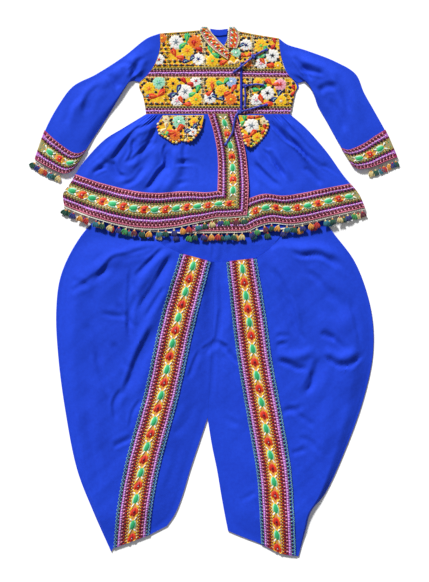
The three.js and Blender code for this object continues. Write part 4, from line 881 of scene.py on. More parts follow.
def casing(inset):
    """The casing's wall, moved in: a flattened ring, gathered over its elastic."""
    rings = []
    for share in np.linspace(0, 1, 13):
        pinch = GATHER_RISE["middle"] * math.sin(math.pi * share) + GATHER_RISE["edge"]
        gathers = pinch * np.sin(GATHERS * around + 0.8 * np.sin(3 * around)) * (np.sin(around) > 0)
        rise = WAISTBAND["rise"] / 2 - inset
        level = WAISTBAND["rise"] / 2 + square * rise + gathers
        down = WAISTBAND["top"] + (WAISTBAND["bottom"] - WAISTBAND["top"]) * share
        rings.append(np.stack([middle + (half - inset) * np.cos(around), 0 * around + down, level], axis=1))
    return np.array(rings)


waist = shell("dhoti_waistband_casing", casing(0), casing(WAISTBAND["wall"]), [BLUE_DHOTI], ring=True)
keep(waist, "blue_cotton", "dhoti_waistband")

# ---------------------------------------------------------------- kediyu back
# The back of the kediyu's bodice is one plain panel under the patchwork of its fronts, and the skirt's back
# lies over the dhoti. Only the inside of the neck shows, with the collar's own back edge.

BLUE_KEDIYU = plain_woven_cotton("plain_woven_cotton_kediyu", math.radians(-3), "#0d37bc", "#1542d0")
WAIST = 355
PATCH = 1.8  # how thick the patchwork is with its stitches
PATCH_CLOTH = PATCH - 0.3  # without them
LAYER = 1.15  # air between the skirt's back and its fronts
BAND_LIFT = BAND + SEAM
LACE_WIDTH = 56.0  # of the plain hems
DHOTI_REACH = {"level": (80, 110, 135, 157, 168, 200), "half": (300, 284, 262, 228, 194, 130)}
DHOTI_RISE = 5.4
DHOTI_SLOPE = 80  # the cloth comes up onto the dhoti over this length beside it
DHOTI_TOP = {"level": 265, "over": 70}
BACK_HEM = {"middle": 121, "rise": 52, "half": 300, "power": 2.3}
BACK_LACE = {"top": 114, "over": 46}
LAP = {"before": 33, "over": 24}
UNDER_EDGE = {"level": (121, 355, 446, 471, 524), "x": (-46, -30, -20, 6, 34)}
YOKE_LAP = PATCH + 2 * SEAM
SKIRT_LAP = CLOTH + LAYER + BAND_LIFT


def bed(x, y):
    """Height of what lies under the kediyu: the floor, or the dhoti."""
    reach = np.interp(y, DHOTI_REACH["level"], DHOTI_REACH["half"]) + DHOTI_SLOPE - np.abs(x)
    return DHOTI_RISE * soft(reach / DHOTI_SLOPE) * soft((DHOTI_TOP["level"] - y) / DHOTI_TOP["over"])


def back_level(x, y):
    """Underside of the skirt's back, which comes up onto the lace under its hem."""
    hem = BACK_HEM["middle"] + BACK_HEM["rise"] * (np.abs(x) / BACK_HEM["half"]) ** BACK_HEM["power"]
    return bed(x, y) + BAND_LIFT * soft((hem + BACK_LACE["top"] - y) / BACK_LACE["over"])


def front_level(x, y):
    return back_level(x, y) + CLOTH + LAYER


def lap(x, y):
    """1 where the over front lies on the under front."""
    return soft((x - np.interp(y, UNDER_EDGE["level"], UNDER_EDGE["x"]) + LAP["before"]) / LAP["over"])


def laid(flat, level):
    """The flat net, at its level."""
    return np.concatenate([flat, np.broadcast_to(level, flat.shape[:2])[..., None]], axis=2)


def hem_rows(surface, columns, above, within, lace_width):
    """Shares down a piece, column by column, with one row along the upper edge of its hem's lace."""
    across = np.linspace(0, 1, columns + 1)
    foot = surface(across, 0 * across + 1)
    upper = 1 - lace_width(foot[:, 0]) / np.linalg.norm(surface(across, 0 * across) - foot, axis=1)
    return np.concatenate([np.linspace(0, 1, above + 1)[:, None] * upper,
                           upper + (1 - upper) * np.linspace(0, 1, within + 1)[1:, None]])


ARMHOLES = {
    "right": [(-110, 517), (-110, 487), (-117, 462), (-131, 438), (-150, 419)],
    "left": [(128, 507), (130, 483), (135, 460), (146, 434), (166, 417)],
}
SIDES = {
    "right": [(-150, 419), (-152, 408), (-146, 396), (-141, 378), (-138, WAIST)],
    "left": [(166, 417), (168, 409), (161, 399), (158, 385), (150, WAIST)],
}
bodice = cut([(-110, 517), (-66, 520), (-24, 523), (4, 520), (34, 523), (80, 515), (128, 507)],
             [(-138, WAIST), (150, WAIST)],
             joined(ARMHOLES["right"], SIDES["right"], 6 / 9), joined(ARMHOLES["left"], SIDES["left"], 6 / 9))
flat = spread(bodice, 60, np.linspace(0, 1, 41))
bodice_cloth = shell("bodice_back_cloth", laid(flat, CLOTH + 0.12 * limp(flat[..., 0], flat[..., 1], 24)),
                     laid(flat, 0), [BLUE_KEDIYU])
keep(bodice_cloth, "blue_cotton", "bodice_back")

SKIRT_SIDES = {
    "right": [(-138, WAIST), (-184, 327), (-222, 303), (-266, 255), (-288, 219), (-304, 195), (-302, 173)],
    "left": [(150, WAIST), (182, 327), (224, 279), (258, 231), (288, 195), (300, 168)],
}
BACK_ROWS = (50, 14)
BACK_COLUMNS = 90
skirt_back = cut([(-138, WAIST), (150, WAIST)],
                 [(-302, 173), (-240, 149), (-182, 131), (-130, 123), (-50, 119), (40, 120), (150, 130),
                  (230, 149), (300, 168)], SKIRT_SIDES["right"], SKIRT_SIDES["left"])
flat = spread(skirt_back, BACK_COLUMNS, hem_rows(skirt_back, BACK_COLUMNS, *BACK_ROWS, lambda x: LACE_WIDTH))
back_net = laid(flat, back_level(flat[..., 0], flat[..., 1]))
back_cloth = shell("skirt_back_cloth", raised(back_net, CLOTH), back_net, [BLUE_KEDIYU])
keep(back_cloth, "blue_cotton", "skirt_back")

# ---------------------------------------------------------------- kediyu skirt fronts
# Two flared fronts are gathered into the waist seam, the right one over the left. Their cloth stands in
# folds that fan out from the gathers and flatten over the lace at the hem.

FRONT_ROWS = (70, 16)
HEM_START = 6 / 7
OVER_HEM = [(-302, 173), (-274, 161), (-244, 150), (-182, 133), (-136, 127), (-90, 129), (-40, 139), (5, 149)]
UNDER_HEM = [(-46, 121), (14, 121), (64, 123), (82, 131), (112, 139), (152, 136), (194, 143), (236, 153),
             (300, 168)]
PLACKET_LINE = [(-14, WAIST), (-4, 323), (4, 283), (6, 253), (5, 199), (5, 149)]
PLACKET_EDGE = [(42, WAIST), (50, 323), (60, 283), (65, 243), (67, 203), (64, 153)]
OVER_COLUMNS = (100, 15)  # the front, and the part under the placket's lace
UNDER_COLUMNS = 100
OVER_FOLDS = [
    ([(-96, 289), (-98, 255), (-112, 239), (-128, 215), (-142, 198)], 10, -3.9, 0.4),
    ([(-84, 254), (-60, 256), (-38, 253), (-30, 218), (-14, 226)], 9, -2.7, 0.3),
    ([(-120, 304), (-134, 292), (-176, 252)], 9, -2.0, 0.3),
    ([(-164, 309), (-166, 275), (-180, 252)], 10, -2.9, 0.4),
    ([(-204, 263), (-194, 237), (-178, 228)], 11, -2.7, -0.4),
    ([(-236, 284), (-226, 262), (-214, 250)], 9, -1.6),
    ([(-246, 235), (-232, 244), (-216, 250)], 9, -2.2, 0.3),
    ([(-118, 330), (-128, 306), (-140, 290)], 8, -2.0),
    ([(-112, 350), (-134, 334), (-160, 322)], 8, -2.0, 0.3), ([(-76, 213), (-56, 218), (-38, 216)], 8, -1.6),
    ([(-58, 300), (-62, 276), (-54, 250)], 8, -1.4), ([(-135, 348), (-173, 309), (-211, 255)], 8, -2.2, 0.3),
    ([(-96, 300), (-102, 277), (-91, 233)], 8, -2.2, 0.3),
    ([(-69, 255), (-36, 255), (-16, 233)], 8, -2.0, 0.3),
    ([(-200, 300), (-236, 262), (-262, 240)], 8, -1.6, 0.3),
    ([(-140, 250), (-160, 222), (-190, 210)], 8, -1.8), ([(-128, 352), (-190, 300), (-262, 236)], 20, 3.0),
    ([(-112, 350), (-152, 300), (-176, 226)], 19, 3.4), ([(-118, 296), (-124, 250), (-164, 204)], 18, 3.0),
    ([(-78, 296), (-76, 244), (-110, 190)], 18, 3.4), ([(-46, 300), (-40, 270), (-44, 214)], 16, 2.4),
    ([(-24, 346), (-22, 290), (-20, 240)], 12, 2.0), ([(-160, 334), (-220, 280), (-276, 212)], 14, 1.6),
]
UNDER_FOLDS = [
    ([(106, 345), (140, 307), (170, 285), (200, 248)], 9, -3.8, 0.4),
    ([(74, 262), (98, 237), (132, 206)], 10, -2.9, -0.3),
    ([(106, 300), (126, 247), (146, 219)], 9, -2.9, 0.3), ([(136, 342), (172, 302), (206, 268)], 8, -2.2),
    ([(212, 255), (238, 240), (264, 222)], 9, -2.5, 0.4), ([(66, 262), (76, 226), (84, 206)], 9, -1.8),
    ([(176, 250), (196, 232), (214, 212)], 9, -1.8),
    ([(133, 348), (150, 309), (188, 266), (226, 233)], 8, -2.2, 0.3),
    ([(95, 288), (117, 260), (144, 227)], 8, -2.0, 0.3),
    ([(150, 346), (200, 310), (236, 262)], 8, -1.8, 0.3), ([(118, 350), (160, 300), (206, 238)], 15, 3.4),
    ([(138, 352), (190, 296), (242, 240)], 15, 2.6), ([(96, 320), (124, 262), (158, 216)], 14, 3.0),
    ([(72, 284), (98, 246), (130, 206)], 12, 2.4), ([(156, 348), (216, 290), (270, 212)], 13, 1.6),
]
GATHER_DEPTH = 1.3
GATHER_REACH = 0.34  # share of the skirt over which the gathers run out
SKIRT_SWELL = 3.6
SKIRT_DEPTH = 1.45
EDGE_FADE = 0.125  # share of a front's width over which it lies down to its side
HEM_LIE = {"over": 0.2, "left": 0.12}
LAP_CALM = 0.85  # how much flatter the over front is where it laps the under one
PLACKET_CLEAR = {"below": 66, "above": 56, "change": 300, "over": 24}  # where the under front comes free
OVER_GATHERS, UNDER_GATHERS = 30, 34
OVER_LACE = {"side": 66, "placket": 51.0, "from": -90}  # it narrows towards the placket
FLAP_ROOM = 3.4  # how high the gathers stand under a flap
FLAP_PLACES = [(-64, 326, 52, 30), (76, 322, 36, 34)]  # middle, half width and half height
ROOM_RISE = 0.4  # how fast the room grows away from a flap


def share_down(above, within, lace):
    """Shares down a piece whose lace begins at one of them."""
    return np.concatenate([np.linspace(0, lace, above + 1), np.linspace(lace, 1, within + 1)[1:]])[:, None]


def gathered(across, down, count):
    """Uneven small pleats that fan out from a gathered seam, some wider and some narrower."""
    way = across * count + 0.5 * np.sin(17 * across) + 0.3 * np.sin(41 * across)
    return GATHER_DEPTH * np.sin(2 * math.pi * way) * soft(down * 25) * (1 - soft(down / GATHER_REACH)) ** 1.5


def flap_room(x, y):
    """How high the gathers may stand: low under the flaps, and free away from them."""
    away = np.min([np.maximum(np.abs(x - middle) - half, np.abs(y - level) - tall)
                   for middle, level, half, tall in FLAP_PLACES], axis=0)
    return FLAP_ROOM + ROOM_RISE * np.maximum(0, away)


over_main = cut([(-138, WAIST), (-14, WAIST)], OVER_HEM, SKIRT_SIDES["right"], PLACKET_LINE)
over_placket = cut([(-14, WAIST), (42, WAIST)], [(5, 149), (36, 150), (64, 153)], PLACKET_LINE, PLACKET_EDGE)


def over_lace(x):
    """Width of the lace at the over front's hem."""
    narrower = soft((x - OVER_LACE["from"]) / -OVER_LACE["from"])
    return OVER_LACE["side"] - (OVER_LACE["side"] - OVER_LACE["placket"]) * narrower


flat = np.concatenate([
    spread(over_main, OVER_COLUMNS[0], hem_rows(over_main, OVER_COLUMNS[0], *FRONT_ROWS, over_lace),
           right=0, bottom=0),
    spread(over_placket, OVER_COLUMNS[1], hem_rows(over_placket, OVER_COLUMNS[1], *FRONT_ROWS, over_lace),
           left=0, right=0, bottom=0)[:, 1:]], axis=1)
x, y = flat[..., 0], flat[..., 1]
down = share_down(*FRONT_ROWS, HEM_START)
across = np.interp(np.arange(flat.shape[1]), (0, OVER_COLUMNS[0], sum(OVER_COLUMNS)), (0, 20 / 23, 1))[None]
near_hem = soft((1 - down) / HEM_LIE["over"] + HEM_LIE["left"])
free = soft(across / EDGE_FADE) * soft((1 - across) / EDGE_FADE) * near_hem * (1 - LAP_CALM * lap(x, y))
swell = (SKIRT_SWELL + folds(OVER_FOLDS, SKIRT_DEPTH)(x, y) + 0.8 * limp(x, y, 34)
         + gathered(across, down, OVER_GATHERS))
over_net = laid(flat, front_level(x, y) + SKIRT_LAP * lap(x, y) + np.clip(free * swell, 0, flap_room(x, y)))
over_cloth = shell("skirt_right_cloth", raised(over_net, CLOTH), over_net, [BLUE_KEDIYU])
keep(over_cloth, "blue_cotton", "skirt_right")

under_front = cut([(-30, WAIST), (150, WAIST)], UNDER_HEM,
                  [(-30, WAIST), (-34, 300), (-40, 240), (-46, 121)], SKIRT_SIDES["left"])
flat = spread(under_front, UNDER_COLUMNS,
              hem_rows(under_front, UNDER_COLUMNS, *FRONT_ROWS, lambda x: LACE_WIDTH), left=0, bottom=0)
x, y = flat[..., 0], flat[..., 1]
across = np.linspace(0, 1, UNDER_COLUMNS + 1)[None]
covered_to = np.where(y < PLACKET_CLEAR["change"], PLACKET_CLEAR["below"], PLACKET_CLEAR["above"])
free = soft((1 - across) / EDGE_FADE) * near_hem * soft((x - covered_to) / PLACKET_CLEAR["over"])
swell = (SKIRT_SWELL + folds(UNDER_FOLDS, SKIRT_DEPTH)(x, y) + 0.8 * limp(x, y, 34)
         + gathered(across, down, UNDER_GATHERS))
under_net = laid(flat, front_level(x, y) + np.clip(free * swell, 0, flap_room(x, y)))
under_cloth = shell("skirt_left_cloth", raised(under_net, CLOTH), under_net, [BLUE_KEDIYU])
keep(under_cloth, "blue_cotton", "skirt_left")

# ---------------------------------------------------------------- kediyu laces
# The kediyu's lace is narrower, with a sand ground: green and red ovals in turn, black and maroon knots,
# couched lilac cord and a salmon edge. It turns the corner of the hem in a mitre to climb the placket.

KEDIYU_LACE = 58.0
KEDIYU_STRIPES = mirrored([(0.03, "salmon"), (0.07, "rose"), (0.155, "wine"), (0.225, "mauve"),
                           (0.30, "maroon"), (0.35, "khaki"), (0.5, "sand")])
KEDIYU_REPEAT = 44.0


KEDIYU_ROWS = (
    (1.2, 4.6, 0.0, "salmon", DOT, (2.0, 1.1), 0.8), (4.4, 7.2, 1.8, "maroon", ROUND, (2.3, 2.2), 1.1),
    (4.4, 7.2, 5.4, "pink", DOT, (1.5, 1.9), 0.9), (7.9, 7.2, 0.0, "maroon", ROUND, (2.2, 1.5), 1.1),
    (7.9, 7.2, 3.6, "salmon", DOT, (1.3, 1.2), 0.9), (11.0, 4.8, 1.8, "lilac", ROUND, (2.0, 1.7), 1.6),
    (11.0, 7.2, 1.8, "white", DOT, (1.3, 1.0), 2.0), (15.2, 7.2, 0.0, "black", ROUND, (2.4, 1.9), 1.1),
    (15.2, 7.2, 3.6, "rose", DOT, (1.3, 1.6), 0.9), (18.4, 6.6, 3.3, "khaki", DOT, (1.7, 1.2), 0.8),
    (18.6, 6.6, 0.0, "black", DOT, (1.6, 1.2), 0.9), (21.4, 5.4, 1.0, "cream", DOT, (1.5, 1.1), 0.8),
    (21.4, 5.4, 3.7, "khaki", DOT, (1.2, 1.0), 0.8), (24.4, 7.4, 2.0, "green", DOT, (1.4, 1.0), 0.8),
    (24.4, 7.4, 5.7, "yellow", DOT, (1.4, 1.0), 0.8),
)


def kediyu_stitches(name, ribbon, start=0.3):
    """Stitches of a length of the kediyu's lace. start is the first oval's share of a repeat."""
    work = Needlework(lambda s, t, h: ribbon(s, t, BAND + h))
    whole = ribbon.width
    scale = whole / KEDIYU_LACE
    for from_edge in (lambda t: t * scale, lambda t: whole - t * scale):
        sew_rows(work, ribbon, KEDIYU_ROWS, from_edge, 7)
    middle = whole / 2
    greens = ribbon.places(middle, KEDIYU_REPEAT, start)
    end = float(ribbon.reach(0.5))
    gap = end / len(greens)
    reds = greens[greens + gap / 2 < end - 6] + gap / 2
    work.sew("mustard", BIG_ROUND, greens, middle, (11.2, 8.0), 0.7)
    work.sew("apricot", LEAF, reds, middle, (11.0, 8.0), 0.8)
    for side in (-1, 1):
        for tip in (-1, 1):
            lean = tip * side
            work.sew("white", DROP, greens + 10.4 * side, middle + 3.8 * tip, (4.8, 2.4), 1.5, 0.62 * lean)
            work.sew("yellow", LEAF, reds + 7.6 * side, middle + 3.8 * tip, (4.4, 1.5), 1.3, 0.7 * lean)
        work.sew("mint", LEAF, greens, middle + 3.8 * side, (9.0, 3.0), 1.6, 0.12 * side)
        work.sew("vermilion", LEAF, reds, middle + 3.4 * side, (8.2, 3.6), 1.5, 0.2 * side)
    work.sew("green", LEAF, greens, middle, (9.6, 5.8), 2.0)
    work.sew("red", ROUND, reds, middle, (5.4, 4.2), 1.9)
    work.sew("maroon", ROUND, reds[1::2], middle, (2.6, 2.2), 2.2)
    work.sew("white", DOT, reds[::2], middle, (1.5, 1.4), 2.3)
    return keep(work.finish(f"{name}_stitches"), "lace")


def kediyu_lace(name, ribbon, solid, start=0.3):
    """Ground and stitches of a length of the kediyu's lace, in a solid's place."""
    ground = keep(woven_ground(f"{name}_ground", ribbon, KEDIYU_STRIPES), "lace", solid)
    return [ground, kediyu_stitches(name, ribbon, start)]


def along_hem(net):
    """A net of rows down the cloth, turned so that it runs along the hem."""
    return np.swapaxes(net, 0, 1)


PLACKET_WIDTH = 58.0
MITRE_GAP = 0.2
hem_net = along_hem(raised(over_net[FRONT_ROWS[0]:], CLOTH + SEAM))
hem_length = Ribbon(hem_net, KEDIYU_LACE).length - MITRE_GAP
hem_ribbon = Ribbon(hem_net, KEDIYU_LACE, lambda share: hem_length - (1 - share) * PLACKET_WIDTH)
over_laces = kediyu_lace("hem_lace_right", hem_ribbon, "hem_band_right")
placket_net = raised(over_net[:, OVER_COLUMNS[0]:], CLOTH + SEAM)
placket_length = Ribbon(placket_net, PLACKET_WIDTH).length - MITRE_GAP
placket_ribbon = Ribbon(placket_net, PLACKET_WIDTH,
                        lambda share: placket_length - (1 - share) * OVER_LACE["placket"])
over_laces += kediyu_lace("placket_lace", placket_ribbon, "placket_band", 0.42)
under_ribbon = Ribbon(along_hem(raised(under_net[FRONT_ROWS[0]:], CLOTH + SEAM)), LACE_WIDTH)
under_laces = kediyu_lace("hem_lace_left", under_ribbon, "hem_band_left", 0.5)
back_ribbon = Ribbon(along_hem(raised(back_net[BACK_ROWS[0]:], -BAND_LIFT)), LACE_WIDTH)
back_lace = keep(woven_ground("hem_lace_back_ground", back_ribbon, KEDIYU_STRIPES), "lace", "skirt_back_band")

# ---------------------------------------------------------------- bodice fronts
# The fronts are patchwork on mustard cotton: flowers and paired leaves in satin stitch, with black knots
# between them and cream braid over the joins. Narrow laces cross the chest and cover the waist seam.

OVER_EDGE = 50  # the over front's edge
BLOCKS = {
    "yoke_right": {
        "top": [(-110, 517), (-66, 520), (-24, 524)], "bottom": [(-125, 447), (OVER_EDGE, 449)],
        "left": [(-110, 517), (-110, 487), (-117, 462), (-125, 447)],
        "right": [(-24, 524), (4, 495), (28, 477), (OVER_EDGE, 462), (OVER_EDGE, 449)],
        "braids": [(-22, "cream"), (-94, "yellow")],
        "flowers": [(-78, 499, 13, "white", "grey"), (-41, 499, 13, "orange", "red"),
                    (-55, 482, 12, "yellow", "orange"), (-33, 465, 11, "white", "navy"),
                    (-112, 464, 10, "white", "red"), (-5, 461, 12, "yellow", "lime"),
                    (-106, 507, 9, "orange", "yellow"), (2, 490, 9, "cream", "mint")],
        "leaves": [(-60, 500, 14, 60, "green"), (-76, 473, 13, -40, "vermilion"), (-52, 464, 11, 25, "navy"),
                   (-38, 491, 12, -50, "red"), (-4, 479, 13, -55, "green"), (22, 464, 12, 50, "vermilion"),
                   (38, 458, 9, 10, "cream")],
    },
    "yoke_left": {
        "top": [(34, 524), (80, 515), (128, 507)], "bottom": [(-20, 446), (140, 444)],
        "left": [(34, 524), (6, 471), (-20, 446)], "right": [(128, 507), (130, 483), (134, 462), (140, 444)],
        "braids": [(76, "cream")],
        "flowers": [(62, 493, 11, "white", "navy"), (92, 492, 13, "yellow", "lime"),
                    (42, 478, 9, "mint", "white"), (115, 472, 12, "white", "black"),
                    (92, 456, 11, "white", "pink"), (66, 456, 8, "orange", "yellow"),
                    (126, 452, 8, "yellow", "cream")],
        "leaves": [(47, 492, 11, 10, "navy"), (63, 473, 9, 5, "vermilion"), (98, 478, 12, 70, "green"),
                   (118, 496, 10, 80, "red"), (103, 457, 14, -30, "vermilion"), (92, 470, 9, 15, "teal")],
    },
    "chest_patch_right": {
        "top": [(-138, 430), (OVER_EDGE, 429)], "bottom": [(-140, 370), (OVER_EDGE, 370)],
        "left": [(-138, 430), (-150, 419), (-152, 408), (-146, 396), (-140, 370)],
        "right": [(OVER_EDGE, 429), (OVER_EDGE, 370)],
        "braids": [(-24, "cream"), (-98, "yellow")],
        "flowers": [(-112, 418, 12, "mint", "teal"), (-132, 406, 12, "yellow", "orange"),
                    (-84, 416, 12, "yellow", "black"), (-38, 421, 10, "white", "red"),
                    (-60, 400, 13, "white", "grey"), (-76, 381, 11, "white", "pink"),
                    (-38, 384, 12, "yellow", "lime"), (-6, 417, 12, "yellow", "orange"),
                    (33, 420, 10, "sky", "white"), (-10, 387, 11, "white", "navy"),
                    (12, 402, 11, "yellow", "mustard"), (32, 384, 11, "orange", "yellow")],
        "leaves": [(-116, 394, 15, 20, "vermilion"), (-140, 391, 8, 0, "navy"), (-78, 400, 13, 50, "navy"),
                   (-56, 419, 12, -30, "red"), (-40, 400, 13, 45, "green"), (-62, 379, 13, -35, "vermilion"),
                   (-8, 403, 12, 65, "vermilion"), (16, 419, 12, 20, "green"), (5, 388, 11, -20, "navy"),
                   (31, 401, 13, 40, "vermilion")],
    },
    "chest_patch_left": {
        "top": [(-22, 430), (151, 428)], "bottom": [(-28, 370), (154, 370)],
        "left": [(-22, 430), (-28, 370)],
        "right": [(151, 428), (161, 417), (164, 409), (160, 399), (157, 385), (154, 370)],
        "braids": [(71, "cream"), (144, "yellow")],
        "flowers": [(86, 419, 9, "yellow", "orange"), (131, 414, 11, "pink", "red"),
                    (105, 397, 12, "white", "black"), (82, 383, 11, "white", "pink"),
                    (132, 381, 12, "yellow", "cream"), (59, 400, 6, "yellow", "white")],
        "leaves": [(115, 417, 12, -20, "vermilion"), (89, 406, 12, 15, "green"), (124, 391, 12, 50, "navy"),
                   (99, 380, 14, -35, "vermilion"), (157, 402, 9, 85, "red"), (60, 385, 7, 80, "black")],
    },
}
FRONT_BANDS = {  # the upper and the lower edge of each lace across a front
    "chest_band_right": ([(-125, 447), (OVER_EDGE, 449)], [(-138, 430), (OVER_EDGE, 429)]),
    "chest_band_left": ([(-20, 446), (140, 444)], [(-22, 430), (151, 428)]),
    "waist_band_right": ([(-140, 370), (OVER_EDGE, 370)], [(-138, WAIST), (OVER_EDGE, WAIST)]),
    "waist_band_left": ([(-28, 370), (154, 370)], [(-30, WAIST), (150, WAIST)]),
}
BLOCK_STEP = 2.4
BRAID_HALF = 2.6
EDGE_KEPT = 0.6  # the stitches stop this far inside a block's edge
KNOT_SPACING = 11.0
FLOWER_PETALS = 11
FULLNESS = 1.18  # the flowers and leaves crowd each other
# Stitches of a flower and of a pair of leaves, as shares of its size: how far out they stand, and their half
# length and half width.
FLOWER = {"knots_out": 1.08, "petals_out": 0.60, "rim": (0.98, 0.98), "petal": (0.42, 0.34),
          "disc": (0.86, 0.86), "vein": (0.26, 0.10), "heart": (0.30, 0.30)}
PAIR = {"out": 0.52, "tip_out": 1.5, "splay": 0.45, "leaf": (0.66, 0.60), "vein": (0.40, 0.12)}
SHADES = {"white": "grey", "yellow": "orange", "orange": "vermilion", "mint": "green", "pink": "red",
          "sky": "teal", "green": "lime", "vermilion": "orange", "red": "vermilion", "navy": "teal",
          "black": "khaki", "teal": "mint", "lime": "yellow"}


def over_level(x, y):
    """Underside of the over front, which lies on the bodice's back and then on the under front."""
    return CLOTH + SEAM + YOKE_LAP * lap(x, y)


def under_level(x, y):
    return CLOTH + SEAM + 0 * x


def patchwork_ground(name, edges, level):
    """The block's cloth, closely stitched in mustard and yellow, with its braids. Gives its net as well."""
    surface = cut(edges["top"], edges["bottom"], edges["left"], edges["right"])
    wide = np.ptp([x for x, _ in edges["top"] + edges["bottom"]])
    tall = np.ptp([y for _, y in edges["left"] + edges["right"]])
    flat = spread(surface, round(wide / BLOCK_STEP), np.linspace(0, 1, round(tall / BLOCK_STEP) + 1))
    low = level(flat[..., 0], flat[..., 1])
    centre = (flat[1:, 1:] + flat[:-1, :-1]) / 2
    x, y = centre[..., 0], centre[..., 1]
    names = ["mustard", "yellow", "cream", "khaki", "orange", "black"]
    # Two crossing waves scatter the yellow over the mustard, and two slower ones some orange.
    kinds = (np.sin(1.7 * x + 0.6 * np.sin(y)) + np.sin(2.1 * y + 0.5 * x) > -0.7).astype(int)
    kinds[np.sin(0.61 * x + 3) * np.sin(0.53 * y + 1) > 0.86] = names.index("orange")
    kinds[np.linspace(0, 1, len(kinds)) > 1 - BLOCK_STEP / tall] = names.index("khaki")
    for place, colour in edges["braids"]:
        kinds[np.abs(x - place) < BRAID_HALF] = names.index(colour)
    ground = shell(name, laid(flat, low + PATCH_CLOTH), laid(flat, low), [THREADS[c] for c in names],
                   kinds=kinds.ravel())
    return ground, flat


def patchwork_stitches(name, edges, flat, level):
    """Flowers, leaves and knots over a block. What reaches past its edge is cut off along it."""
    foot, head = flat[-1], flat[0]
    near, far = flat[::-1, 0], flat[::-1, -1]

    def on_block(x, y, h):
        y = np.clip(y, np.interp(x, foot[:, 0], foot[:, 1]) + EDGE_KEPT,
                    np.interp(x, head[:, 0], head[:, 1]) - EDGE_KEPT)
        x = np.clip(x, np.interp(y, near[:, 1], near[:, 0]) + EDGE_KEPT,
                    np.interp(y, far[:, 1], far[:, 0]) - EDGE_KEPT)
        return np.stack([x, y, level(x, y) + PATCH_CLOTH + h], axis=-1)

    work = Needlework(on_block)
    taken = [(x, y, 1.2 * reach) for x, y, reach, *_ in edges["flowers"] + edges["leaves"]]
    spots = []
    for row, y in enumerate(np.arange(foot[:, 1].min() + 5, head[:, 1].max() - 3, KNOT_SPACING * 0.75)):
        offset = 4 + row % 2 * KNOT_SPACING / 2
        for x in np.arange(near[:, 0].min() + offset, far[:, 0].max() - 3, KNOT_SPACING):
            x += 2.2 * math.sin(2.3 * x + y)
            held_in = np.interp(x, foot[:, 0], foot[:, 1]) + 4 < y < np.interp(x, head[:, 0], head[:, 1]) - 4
            if held_in and all(math.hypot(x - a, y - b) > 0.8 * reach for a, b, reach in taken):
                spots.append((x, y))
    spots = np.array(spots)
    work.sew("black", ROUND, spots[:, 0], spots[:, 1], (3.8, 3.1), 0.8, spots[:, 0])
    work.sew("orange", LEAF, spots[:, 0] + 3.6, spots[:, 1] + 2.2, (2.8, 1.4), 0.9, spots[:, 1])
    work.sew("cream", LEAF, spots[:, 0] - 3.4, spots[:, 1] + 2.6, (2.4, 1.0), 0.8, spots[:, 0] + 1)
    for x, y, reach, petal, heart in edges["flowers"]:
        reach = FULLNESS * reach
        turn = np.linspace(0, 2 * math.pi, FLOWER_PETALS, endpoint=False) + 0.3 * x
        knots = np.linspace(0, 2 * math.pi, 6, endpoint=False) + 0.2 * y
        ring, out = FLOWER["petals_out"] * reach, FLOWER["knots_out"] * reach
        part = {name: (size[0] * reach, size[1] * reach) for name, size in FLOWER.items() if np.ndim(size)}
        work.sew("black", ROUND, x + out * np.cos(knots), y + out * np.sin(knots), (3.5, 2.9), 0.7, knots)
        rim = "cream" if petal != "cream" else "yellow"
        work.sew(rim, BIG_ROUND, x, y, part["rim"], 0.6)
        work.sew(petal, LEAF, x + ring * np.cos(turn), y + ring * np.sin(turn), part["petal"], 0.8, turn)
        work.sew(petal, BIG_ROUND, x, y, part["disc"], 0.9)
        work.sew(SHADES.get(petal, "cream"), LEAF, x + 0.5 * ring * np.cos(turn[::2]),
                 y + 0.5 * ring * np.sin(turn[::2]), part["vein"], 1.1, turn[::2])
        work.sew(heart, ROUND, x, y, part["heart"], 1.3)
    for x, y, reach, angle, colour in edges["leaves"]:
        reach, turn = FULLNESS * reach, math.radians(angle)
        for end in (-1, 1):
            along = end * PAIR["out"] * reach * math.cos(turn)
            off = end * PAIR["out"] * reach * math.sin(turn)
            leaf, vein = [(size[0] * reach, size[1] * reach) for size in (PAIR["leaf"], PAIR["vein"])]
            splay = PAIR["splay"] * end
            work.sew(colour, DROP, x + along, y + off, leaf, 1.2, turn + (math.pi if end > 0 else 0) + splay)
            work.sew(SHADES.get(colour, "orange"), LEAF, x + along, y + off, vein, 1.4, turn + splay)
            tip = "black" if colour not in ("black", "navy") else "white"
            work.sew(tip, DOT, x + PAIR["tip_out"] * along, y + PAIR["tip_out"] * off, (1.5, 1.2), 1.9)
    for place, colour in edges["braids"]:
        low, high = np.interp(place, foot[:, 0], foot[:, 1]), np.interp(place, head[:, 0], head[:, 1])
        rows = np.arange(low + 2, high - 2, 3.4)
        for end in (-1, 1):
            work.sew(colour, DOT, place + end * 1.9 + 0 * rows, rows, (1.5, 1.2), 0.9)
        between = "black" if colour == "yellow" else "khaki"
        work.sew(between, DOT, place + 0 * rows, rows + 1.7, (0.9, 0.8), 0.8)
    shoulder = [(head, -1.4, "khaki", 3.0), (head, -3.8, "black", 4.6), (head, -6.2, "cream", 3.6)]
    edgings = shoulder if name.startswith("yoke") else [(head, -1.4, "cream", 3.6)]
    for line, inward, colour, pitch in (*edgings, (foot, 1.6, "yellow", 3.0), (foot, 4.0, "black", 6.6)):
        x = np.arange(line[0, 0] + 2, line[-1, 0] - 1, pitch)
        work.sew(colour, DOT, x, np.interp(x, line[:, 0], line[:, 1]) + inward, (0.42 * pitch, 1.3), 0.9)
    return keep(work.finish(f"{name}_stitches"), "embroidery")


for name, edges in BLOCKS.items():
    level = over_level if name.endswith("right") else under_level
    ground, flat = patchwork_ground(f"{name}_ground", edges, level)
    keep(ground, "embroidery", name)
    patchwork_stitches(name, edges, flat, level)

